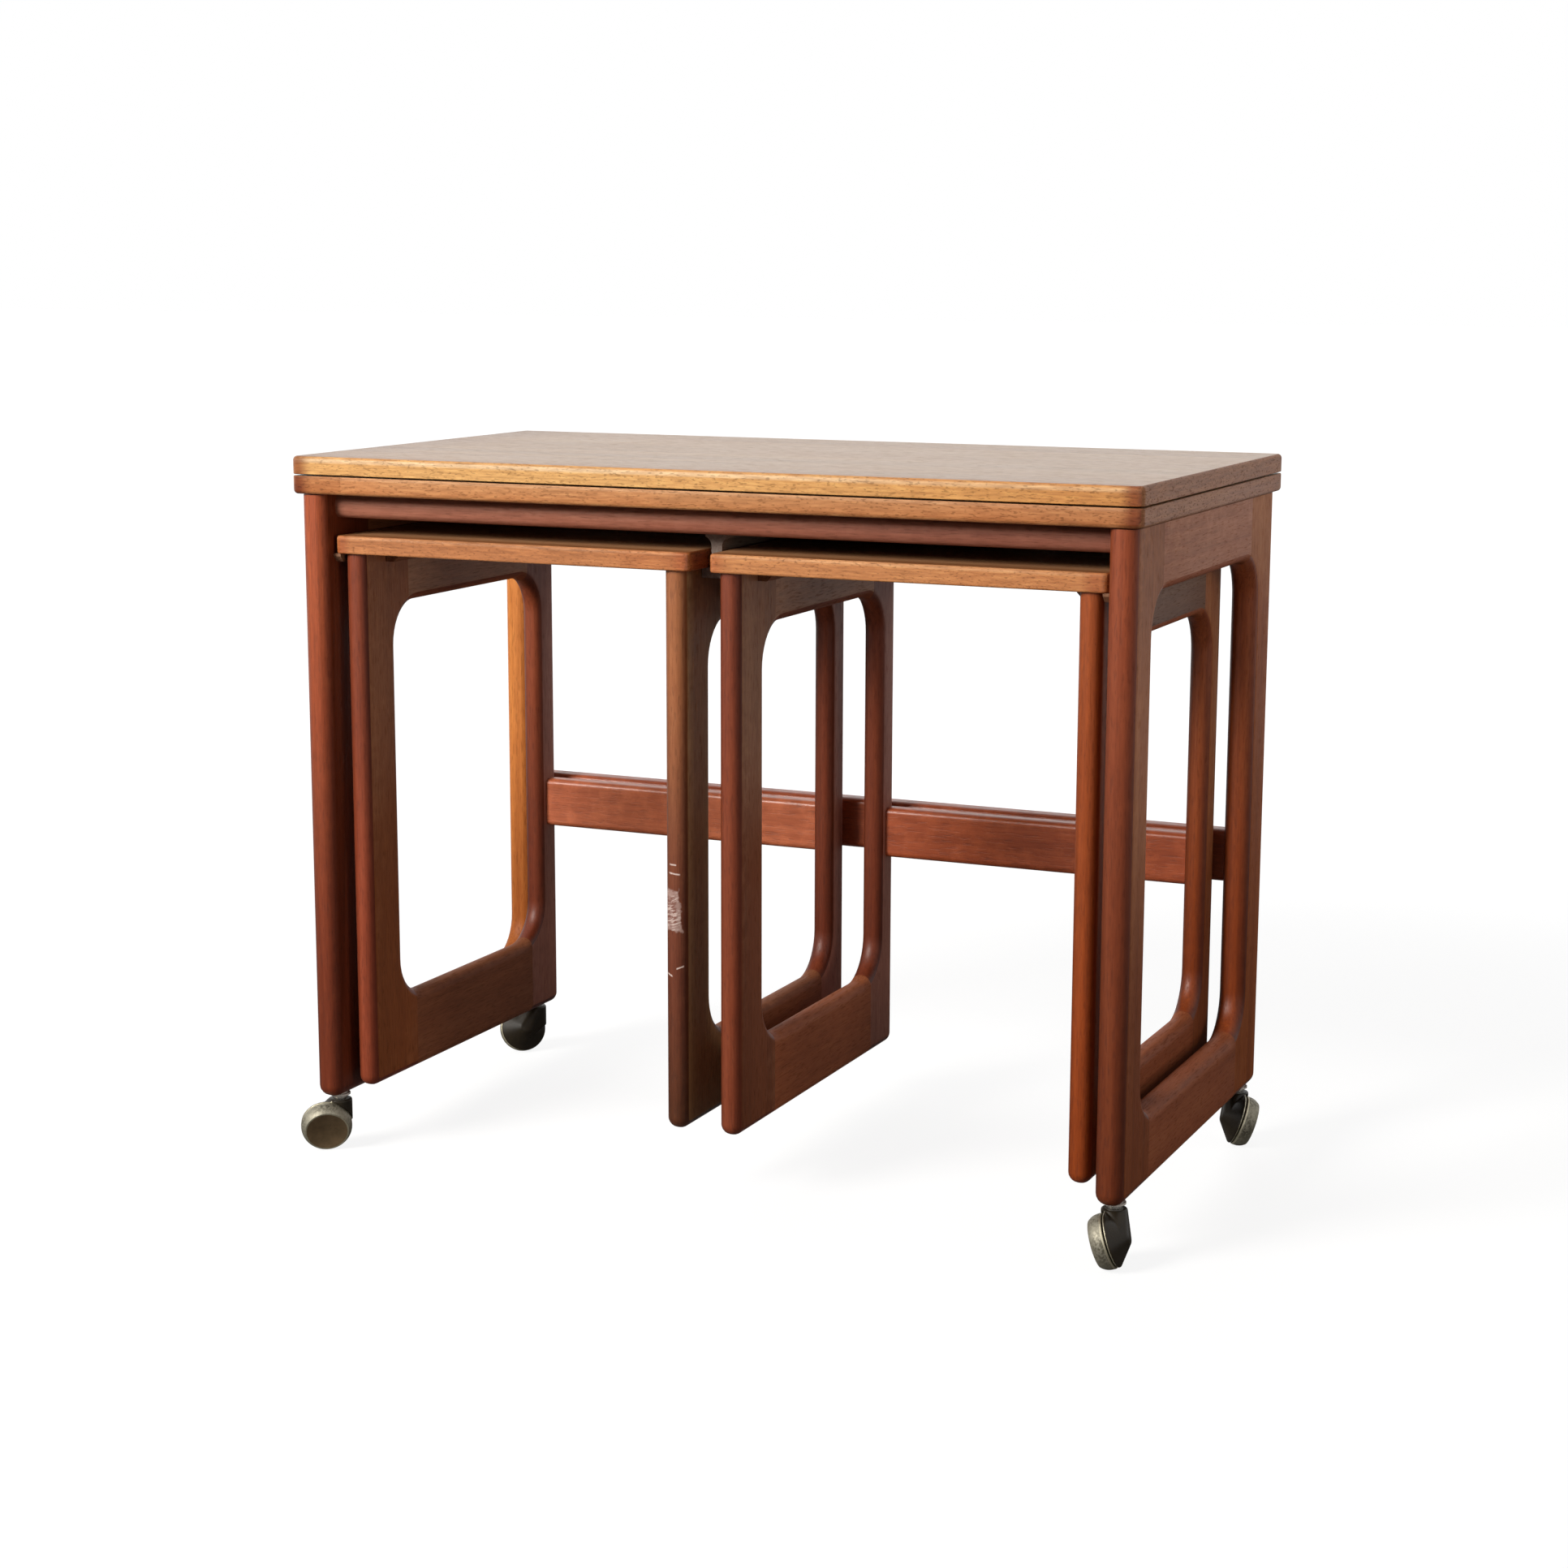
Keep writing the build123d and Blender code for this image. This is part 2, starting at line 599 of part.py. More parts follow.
def carcase_pieces():
    """Aprons, pivot board, rear stretcher and runners."""
    board = span_box(BOARD_SPAN_X, BOARD_SPAN_Y, (BOARD_UNDER, APRON_TOP)) + board_tongues()
    board -= Pos(PIVOT_X, PIVOT_Y, APRON_TOP - BOARD_T / 2) * Cylinder(BUSH_R + RUN_FIT, BOARD_T)
    runner = centre_runner()
    for hole in board_screws(RUN_FIT):
        board -= hole
        runner -= hole
    side_runners = []
    for side in (-1, 1):
        strip = side_runner(side)
        for hole in side_screws(side, RUN_FIT):
            strip -= hole
        side_runners.append(strip)
    return {
        "front_apron": apron(APRON_SPAN_Y, APRON_SPAN_Z, -1),
        "rear_apron": apron(REAR_APRON_SPAN_Y, REAR_APRON_SPAN_Z, 1),
        "pivot_board": board,
        "rear_stretcher": stretcher(APRON_SPAN_X, MAIN_STRETCHER_SPAN_Y, MAIN_STRETCHER_SPAN_Z),
        "centre_runner": runner,
        "side_runners": group(side_runners),
        "runner_screws": group(board_screws() + side_screws(-1) + side_screws(1)),
        "glide_pads": group(glide_pads(-1) + glide_pads(1)),
    }


def main_frame(side):
    """One side frame of the main table, with the mortises and holes for what it carries."""
    pieces = {name: Pos(side * FRAME_MID, 0, 0) * shape for name, shape in frame_pieces(MAIN).items()}
    for room in bar_tenons(APRON_SPAN_X, APRON_SPAN_Y, APRON_SPAN_Z, GLUE_FIT):
        pieces["front_stile"] -= room
    for y, z in (
        (REAR_APRON_SPAN_Y, REAR_APRON_SPAN_Z),
        (MAIN_STRETCHER_SPAN_Y, MAIN_STRETCHER_SPAN_Z),
    ):
        for room in bar_tenons(APRON_SPAN_X, y, z, GLUE_FIT):
            pieces["rear_stile"] -= room
    front_screw, rear_screw = side_screws(side, RUN_FIT)
    pieces["front_stile"] -= front_screw + socket_room(side, -1)
    pieces["rear_stile"] -= rear_screw + socket_room(side, 1)
    for pad in glide_pads(side, GLUE_FIT):
        pieces["top_rail"] -= pad
    return pieces


# Small tables


def small_top(x_mid):
    """A small table's top, eased all round."""
    x = (x_mid - SMALL_TOP_HALF, x_mid + SMALL_TOP_HALF)
    board = span_box(x, SMALL_TOP_SPAN_Y, (SMALL_TOP_UNDER, SMALL_TOP_Z))
    board = fillet(board.edges().filter_by(Axis.Z), SMALL_TOP_CORNER_R)
    return fillet(board.faces().filter_by(Axis.Z).edges(), SMALL_TOP_ARRIS_R)


def fixing_block(x_mid, side, y):
    """A block in the corner between a small frame and the top, bevelled below."""
    x = (x_mid + side * SMALL_FRAME_IN, x_mid + side * (SMALL_FRAME_IN - BLOCK_W))
    block = span_box(x, around(y, BLOCK_L), (BLOCK_UNDER, SMALL_TOP_UNDER))
    low = block.edges().filter_by(Axis.Y).group_by(Axis.Z)[0].sort_by(Axis.X)
    return chamfer(low[0] if side > 0 else low[-1], BLOCK_CHAMFER)


def block_screws(x_mid, grow=0.0):
    """The screws up through the fixing blocks into a small top."""
    turn = Rot(180, 0, 0)
    reach = SMALL_FRAME_IN - (BLOCK_W - BLOCK_CHAMFER) / 2
    return [
        Pos(x_mid + side * reach, y, BLOCK_UNDER) * turn * screw(BLOCK_H + BLOCK_SCREW_BITE, grow)
        for side in (-1, 1)
        for y in BLOCK_Y
    ]


def small_table(side, name):
    """One small table, named by the side of the nest that it stands on."""
    x_mid = side * SMALL_MID
    bar_x = (x_mid - SMALL_FRAME_IN, x_mid + SMALL_FRAME_IN)
    pieces = {}
    for place, offset in (("outer", side), ("inner", -side)):
        frame = frame_pieces(SMALL)
        for piece, shape in frame.items():
            pieces[f"{name}_{place}_{piece}"] = Pos(x_mid + offset * SMALL_FRAME_MID, 0, 0) * shape
        for room in bar_tenons(bar_x, SMALL_STRETCHER_SPAN_Y, SMALL_STRETCHER_SPAN_Z, GLUE_FIT):
            pieces[f"{name}_{place}_rear_stile"] -= room
    top = small_top(x_mid)
    blocks = group([fixing_block(x_mid, end, y) for end in (-1, 1) for y in BLOCK_Y])
    for hole in block_screws(x_mid, RUN_FIT):
        top -= hole
        blocks -= hole
    pieces[f"{name}_top"] = top
    pieces[f"{name}_stretcher"] = stretcher(bar_x, SMALL_STRETCHER_SPAN_Y, SMALL_STRETCHER_SPAN_Z)
    pieces[f"{name}_fixing_blocks"] = group([blocks])
    pieces[f"{name}_screws"] = group(block_screws(x_mid))
    return pieces


# Casters


def upright(radius, z_low, z_high):
    """A vertical cylinder on the stem's axis."""
    return Pos(0, 0, (z_low + z_high) / 2) * Cylinder(radius, z_high - z_low)


def socket_room(side, end):
    """The hole in a stile's foot for a caster socket."""
    return Pos(side * FRAME_MID, end * STEM_Y, 0) * upright(
        SOCKET_R + GLUE_FIT, MAIN.z_foot - SOCKET_FLANGE_T, SOCKET_TOP + GLUE_FIT
    )


def socket(side, end):
    """A flanged sleeve in a stile's foot, closed at the top."""
    flange = upright(SOCKET_FLANGE_R, MAIN.z_foot - SOCKET_FLANGE_T, MAIN.z_foot)
    sleeve = flange + upright(SOCKET_R, MAIN.z_foot, SOCKET_TOP)
    sleeve -= upright(STEM_R + RUN_FIT, MAIN.z_foot - SOCKET_FLANGE_T, SOCKET_BORE_TOP)
    return Pos(side * FRAME_MID, end * STEM_Y, 0) * sleeve


def wheel_solid():
    """The dome wheel about Z, its dished face up: a hollow rim, a web and a blind hub."""
    back = Polyline(
        (0, DISH_S),
        (0, BORE_END),
        (AXLE_R + RUN_FIT, BORE_END),
        (AXLE_R + RUN_FIT, WHEEL_BACK),
        (WHEEL_HUB_R, WHEEL_BACK),
        (WHEEL_HUB_R, DISH_S - WEB_T),
        (WHEEL_R - RIM_T, DISH_S - WEB_T),
        (WHEEL_R - RIM_T, WHEEL_BACK),
        (WHEEL_R, WHEEL_BACK),
        (WHEEL_R, TREAD_END),
    )
    tread = TangentArc((WHEEL_R, TREAD_END), (FACE_R, FACE_S), tangent=(0, 1))
    lip = Line((FACE_R, FACE_S), (FACE_R - FACE_LIP, FACE_S))
    dish = TangentArc((0, DISH_S), (FACE_R - FACE_LIP, FACE_S), tangent=(1, 0))
    return revolve(Plane.XZ * make_face(back + tread + lip + dish), Axis.Z)


def hood_cone(wall):
    """The hood's cone about Z, its apex down, drawn in by a wall from the outside."""
    wide = HOOD_R - wall
    deep = HOOD_DEPTH - wall
    outline = Polyline(
        (0, -deep),
        (HOOD_APEX_R, -deep),
        (wide, -HOOD_EDGE - HOOD_LIP),
        (wide, -HOOD_EDGE),
        (0, -HOOD_EDGE),
        (0, -deep),
    )
    solid = revolve(Plane.XZ * make_face(outline), Axis.Z)
    apex = solid.edges().filter_by(GeomType.CIRCLE).group_by(Axis.Z)[0]
    return fillet(apex, HOOD_APEX_EDGE_R)


def axial(radius, s_low, s_high):
    """A cylinder on the wheel's axis, from one distance along it to another."""
    return Pos(0, 0, (s_low + s_high) / 2) * Cylinder(radius, s_high - s_low)


def neck():
    """The hood's neck round the stem, drawn to a tip inside the cone."""
    spread_z = BALL_Z + NECK_SPREAD
    tip_z = BALL_Z - NECK_TIP_DROP
    outline = Polyline(
        (0, tip_z),
        (NECK_TIP_R, tip_z),
        (NECK_R, spread_z),
        (NECK_R, NECK_TOP),
        (0, NECK_TOP),
        (0, tip_z),
    )
    solid = revolve(Plane.XZ * make_face(outline), Axis.Z)
    rim = solid.edges().filter_by(GeomType.CIRCLE).group_by(Axis.Z)[-1]
    return fillet(rim, NECK_EDGE_R)


def caster(side, end, hand, facing):
    """Hood with stem and axle, and wheel, of one caster turned to face a direction."""
    seat = Pos(side * FRAME_MID, end * STEM_Y, 0) * Rot(0, 0, facing)
    ball = Pos(BALL_ALONG, hand * BALL_TRAIL, BALL_Z) * Rot(0, 90 + WHEEL_LEAN_DEGREES, 0)
    hub_depth = HOOD_DEPTH - HOOD_HUB_CLEAR
    shell = hood_cone(0) - hood_cone(HOOD_WALL) + axial(HOOD_HUB_R, -hub_depth, -HOOD_EDGE)
    hood = ball * shell + neck() - ball * axial(WHEEL_R + WHEEL_ROOM, -HOOD_EDGE, CUT_REACH)
    hood += ball * axial(AXLE_R, -hub_depth, AXLE_END)
    hood += upright(COLLAR_R, NECK_TOP, COLLAR_TOP) + upright(STEM_R, NECK_TOP, STEM_TOP)
    return seat * hood, seat * ball * wheel_solid()


def all_pieces():
    """Every piece of the nest by name."""
    pieces = top_pieces() | carcase_pieces()
    for side, name in ((-1, "left"), (1, "right")):
        pieces |= {f"{name}_{piece}": shape for piece, shape in main_frame(side).items()}
        pieces |= small_table(side, f"{name}_table")
    pieces["caster_sockets"] = group([socket(side, end) for _, side, end, _ in CASTERS])
    for name, side, end, hand in CASTERS:
        hood, wheel = caster(side, end, hand, FACING_DEGREES[name])
        pieces[f"{name}_caster_hood"] = hood
        pieces[f"{name}_caster_wheel"] = wheel
    return pieces


os.makedirs("parts", exist_ok=True)
for piece_name, piece_shape in all_pieces().items():
    export_step(piece_shape, f"parts/{piece_name}.step")
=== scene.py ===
"""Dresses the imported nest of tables: oiled teak frames and tops, aged brass casters, plain studio."""

import json
import logging
import math
from dataclasses import dataclass, replace
from enum import Enum
from typing import Any, Callable, ClassVar, Iterable, Optional, Sequence, Union

import bpy
import numpy as np
from mathutils import Matrix, Vector


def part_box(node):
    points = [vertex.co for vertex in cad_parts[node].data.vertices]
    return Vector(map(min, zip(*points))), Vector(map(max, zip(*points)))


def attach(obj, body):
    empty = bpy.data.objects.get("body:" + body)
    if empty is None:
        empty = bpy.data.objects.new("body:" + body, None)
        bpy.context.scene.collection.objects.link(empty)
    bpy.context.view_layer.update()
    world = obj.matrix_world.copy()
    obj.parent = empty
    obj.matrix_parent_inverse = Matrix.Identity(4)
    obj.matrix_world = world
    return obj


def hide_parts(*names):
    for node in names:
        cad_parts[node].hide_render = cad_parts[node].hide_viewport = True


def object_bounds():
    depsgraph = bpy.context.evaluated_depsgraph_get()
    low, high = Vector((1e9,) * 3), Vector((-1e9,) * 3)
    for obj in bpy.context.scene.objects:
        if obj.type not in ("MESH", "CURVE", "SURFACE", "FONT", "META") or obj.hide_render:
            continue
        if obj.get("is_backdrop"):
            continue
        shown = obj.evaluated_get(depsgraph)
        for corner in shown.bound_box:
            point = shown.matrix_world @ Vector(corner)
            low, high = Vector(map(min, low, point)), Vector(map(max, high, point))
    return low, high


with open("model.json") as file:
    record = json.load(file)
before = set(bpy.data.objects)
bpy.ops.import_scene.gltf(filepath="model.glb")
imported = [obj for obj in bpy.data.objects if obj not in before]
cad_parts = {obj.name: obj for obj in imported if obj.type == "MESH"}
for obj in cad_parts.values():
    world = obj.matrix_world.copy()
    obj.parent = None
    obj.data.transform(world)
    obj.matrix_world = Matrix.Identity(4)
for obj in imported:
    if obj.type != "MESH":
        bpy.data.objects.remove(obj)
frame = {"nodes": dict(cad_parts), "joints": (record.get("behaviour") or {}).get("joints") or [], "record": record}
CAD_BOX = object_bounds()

LOG = logging.getLogger("nest_of_tables")
MM = 0.001
CLOSE = 1e-6
Number = Union[int, float]
Value = Union["Socket", Number]
Span = tuple[float, float]
Triple = tuple[float, float, float]
Colour = Triple


class Grain(Enum):
    """The way that the grain of a board runs."""

    ALONG_X = (0.0, 0.0, 0.0)
    ALONG_Y = (0.0, 0.0, -math.pi / 2)
    ALONG_Z = (0.0, math.pi / 2, 0.0)


# Shader expressions


class Socket:
    """A node's output, on which Python's operators add Math nodes."""

    def __init__(self, graph: "Graph", socket: bpy.types.NodeSocket) -> None:
        """Keeps the output and the graph that it is part of."""
        self.graph = graph
        self.socket = socket

    def _math(self, operation: str, *values: Value, clamp: bool = False) -> "Socket":
        """Adds one Math node and returns its value."""
        settings = {"operation": operation, "use_clamp": clamp}
        return self.graph.node("ShaderNodeMath", settings, dict(enumerate(values)))["Value"]

    def __add__(self, other: Value) -> "Socket":
        """Sum."""
        return self._math("ADD", self, other)

    def __radd__(self, other: Number) -> "Socket":
        """Sum with a number on the left."""
        return self._math("ADD", other, self)

    def __sub__(self, other: Value) -> "Socket":
        """Difference."""
        return self._math("SUBTRACT", self, other)

    def __rsub__(self, other: Number) -> "Socket":
        """Difference from a number on the left."""
        return self._math("SUBTRACT", other, self)

    def __mul__(self, other: Value) -> "Socket":
        """Product."""
        return self._math("MULTIPLY", self, other)

    def __rmul__(self, other: Number) -> "Socket":
        """Product with a number on the left."""
        return self._math("MULTIPLY", other, self)

    def __truediv__(self, other: Value) -> "Socket":
        """Quotient."""
        return self._math("DIVIDE", self, other)

    def clamped(self) -> "Socket":
        """The value held between nought and one."""
        return self._math("ADD", self, 0.0, clamp=True)

    def absolute(self) -> "Socket":
        """The value without its sign."""
        return self._math("ABSOLUTE", self)

    def greatest(self, other: Value) -> "Socket":
        """The greater of two values."""
        return self._math("MAXIMUM", self, other)

    def step(self, low: float, high: float) -> "Socket":
        """A smooth step.

        Args:
            low: the value at which the step is nought.
            high: the value at which it is one.

        Returns:
            The step.
        """
        settings = {"interpolation_type": "SMOOTHSTEP"}
        inputs = {"Value": self, "From Min": low, "From Max": high}
        return self.graph.node("ShaderNodeMapRange", settings, inputs)["Result"]


class NodeView:
    """A node whose outputs are read by name as sockets."""

    def __init__(self, graph: "Graph", node: bpy.types.Node) -> None:
        """Keeps the node and its graph."""
        self.graph = graph
        self.node = node

    def __getitem__(self, name: Union[str, int]) -> Socket:
        """The named output."""
        return Socket(self.graph, self.node.outputs[name])


class Graph:
    """The node tree of a material or of the world."""

    def __init__(self, owner: Union[bpy.types.Material, bpy.types.World]) -> None:
        """Empties the owner's node tree.

        Args:
            owner: the material or the world.
        """
        self.owner = owner
        owner.use_nodes = True
        self.tree = owner.node_tree
        self.tree.nodes.clear()

    @classmethod
    def material(cls, name: str) -> "Graph":
        """The empty tree of a new material."""
        return cls(bpy.data.materials.new(name))

    def node(
        self,
        kind: str,
        settings: Optional[dict[str, Any]] = None,
        inputs: Optional[dict[Union[str, int], Any]] = None,
    ) -> NodeView:
        """Adds a node.

        Args:
            kind: the node's type name.
            settings: its properties, set first; "stops" holds a ramp's (place, colour) pairs.
            inputs: values or sockets for its inputs, by name or number.

        Returns:
            The node, for its outputs.
        """
        node = self.tree.nodes.new(kind)
        for key, value in (settings or {}).items():
            if key == "stops":
                self._set_stops(node.color_ramp, value)
            else:
                setattr(node, key, value)
        for key, value in (inputs or {}).items():
            if isinstance(value, Socket):
                self.tree.links.new(value.socket, node.inputs[key])
            else:
                node.inputs[key].default_value = value
        return NodeView(self, node)

    @staticmethod
    def _set_stops(ramp: bpy.types.ColorRamp, stops: Sequence[tuple[float, Colour]]) -> None:
        """Gives a colour ramp its stops.

        Args:
            ramp: the ramp.
            stops: its places and colours.
        """
        while len(ramp.elements) < len(stops):
            ramp.elements.new(1.0)
        for element, (place, colour) in zip(ramp.elements, stops):
            element.position = place
            element.color = (*colour, 1.0)

    def place(self, turn: Triple = (0.0, 0.0, 0.0), shift: Triple = (0.0, 0.0, 0.0)) -> Socket:
        """Object coordinates.

        Args:
            turn: the angles by which they are turned.
            shift: the distance by which they are moved.

        Returns:
            The coordinates as a vector.
        """
        coordinates = self.node("ShaderNodeTexCoord")["Object"]
        inputs = {"Vector": coordinates, "Location": shift, "Rotation": turn}
        return self.node("ShaderNodeMapping", {}, inputs)["Vector"]

    def spot(self) -> NodeView:
        """Object coordinates as X, Y and Z."""
        return self.node("ShaderNodeSeparateXYZ", {}, {0: self.place()})

    def vector(self, operation: str, first: Socket, second: Union[Socket, Triple]) -> Socket:
        """The result of one Vector Math node."""
        return self.node("ShaderNodeVectorMath", {"operation": operation}, {0: first, 1: second})["Vector"]

    def noise(self, vector: Socket, scale: float, detail: float = 3.0, rough: float = 0.5) -> Socket:
        """Noise between nought and one."""
        inputs = {"Vector": vector, "Scale": scale, "Detail": detail, "Roughness": rough}
        return self.node("ShaderNodeTexNoise", {}, inputs)["Fac"]

    def drawn(self, vector: Socket, scale: Triple, detail: float, rough: float) -> Socket:
        """Noise drawn out along the grain, as a scale for each axis says."""
        return self.noise(self.vector("MULTIPLY", vector, scale), 1.0, detail, rough)

    def ramp(self, value: Socket, stops: Sequence[tuple[float, Colour]]) -> Socket:
        """A colour ramp read at a value."""
        return self.node("ShaderNodeValToRGB", {"stops": stops}, {"Fac": value})["Color"]

    def mix(self, factor: Value, first: Any, second: Any, blend: str = "MIX") -> Socket:
        """Mixes two colours.

        Args:
            factor: how much of the second colour is taken.
            first: the first colour, a socket or three numbers.
            second: the second colour, in the same way.
            blend: the way of mixing.

        Returns:
            The mixed colour.
        """
        settings = {"data_type": "RGBA", "blend_type": blend}
        inputs: dict[Union[str, int], Any] = {0: factor}
        for key, colour in ((6, first), (7, second)):
            inputs[key] = colour if isinstance(colour, Socket) else (*colour, 1.0)
        return self.node("ShaderNodeMix", settings, inputs)[2]

    def attribute(self, name: str) -> Socket:
        """A value stored on the piece's points."""
        return self.node("ShaderNodeAttribute", {"attribute_name": name})["Fac"]

    def bump(self, height: Socket, strength: float, distance: float) -> Socket:
        """A bumped normal."""
        inputs = {"Height": height, "Strength": strength, "Distance": distance}
        return self.node("ShaderNodeBump", {}, inputs)["Normal"]

    def surface(self, **inputs: Any) -> bpy.types.Material:
        """Ends the tree with a Principled shader.

        Args:
            inputs: its sockets by name, with underscores for spaces.

        Returns:
            The finished material.
        """
        named = {key.replace("_", " "): value for key, value in inputs.items()}
        shader = self.node("ShaderNodeBsdfPrincipled", {}, named)["BSDF"]
        self.node("ShaderNodeOutputMaterial", {}, {"Surface": shader})
        return self.owner


# Finishes


@dataclass(frozen=True)
class Scrapes:
    """Pale scrapes across the front of a stile: one rubbed patch and single nicks.

    Each nick holds its height, its middle along X, half its length and its slope.
    """

    patch: Span
    middle: float
    nicks: tuple[tuple[float, float, float, float], ...]
    front: float
    half_width: float = 9.8 * MM
    lean: float = 1.2 * MM
    fade: Span = (3.0 * MM, 7.0 * MM)
    nick_width: Span = (0.7 * MM, 1.4 * MM)
    nick_waver: float = 0.9 * MM
    line_tilt: Triple = (0.0, 0.30, 0.0)
    line_scale: Triple = (140.0, 60.0, 760.0)
    rubbed: Colour = (0.225, 0.105, 0.085)
    bare: Colour = (0.56, 0.43, 0.385)

    def over(self, g: Graph, colour: Socket) -> tuple[Socket, Socket]:
        """Scrapes a colour.

        Args:
            g: the graph of the material.
            colour: the colour of the wood.

        Returns:
            The scraped colour, and how much bare wood shows.
        """
        spot = g.spot()
        nose = 1.0 - spot["Y"].step(self.front + self.fade[0], self.front + self.fade[1])
        middle, half = sum(self.patch) / 2, (self.patch[1] - self.patch[0]) / 2
        high = (spot["Z"] - middle) / half
        wide = (spot["X"] - self.middle + high * self.lean) / self.half_width
        ragged = (g.noise(g.place(), 210.0, 3.0) - 0.5) * 0.55
        away = high.absolute().greatest(wide.absolute()) + ragged
        wear_and_highlight = (1.0 - away.step(0.86, 1.02)) * nose
        lines = g.drawn(g.place(self.line_tilt), self.line_scale, 4.0, 0.7).step(0.50, 0.58)
        rim = away.step(0.55, 0.80) * 0.35
        strokes = wear_and_highlight * (lines * 0.85).greatest(rim)
        for height, x, reach, slope in self.nicks:
            aside = spot["X"] - x
            waver = g.noise(g.place(), 500.0, 2.0) * self.nick_waver
            skew = (spot["Z"] - height - aside * slope).absolute() + waver
            thin = (1.0 - skew.step(*self.nick_width)) * (1.0 - aside.absolute().step(0.7 * reach, reach))
            strokes = strokes.greatest(thin * nose)
        return g.mix(strokes, g.mix(wear_and_highlight * 0.7, colour, self.rubbed), self.bare), strokes


@dataclass(frozen=True)
class Tint:
    """A colour that takes hold smoothly along one axis, from one place to another."""

    axis: str
    start: float
    end: float
    colour: Colour
    both: bool = False

    def over(self, g: Graph, colour: Socket) -> Socket:
        """Multiplies a colour by the tint as far as it has taken hold.

        Args:
            g: the graph of the material.
            colour: the colour before.

        Returns:
            The tinted colour.
        """
        place = g.spot()[self.axis]
        share = (place.absolute() if self.both else place).step(self.start, self.end)
        return g.mix(share, colour, self.colour, "MULTIPLY")


@dataclass(frozen=True)
class Growth:
    """The patterns of a board, each between nought and one."""

    bands: Socket
    streaks: Socket
    fibres: Socket
    flecks: Socket
    pores: Socket
    patches: Socket


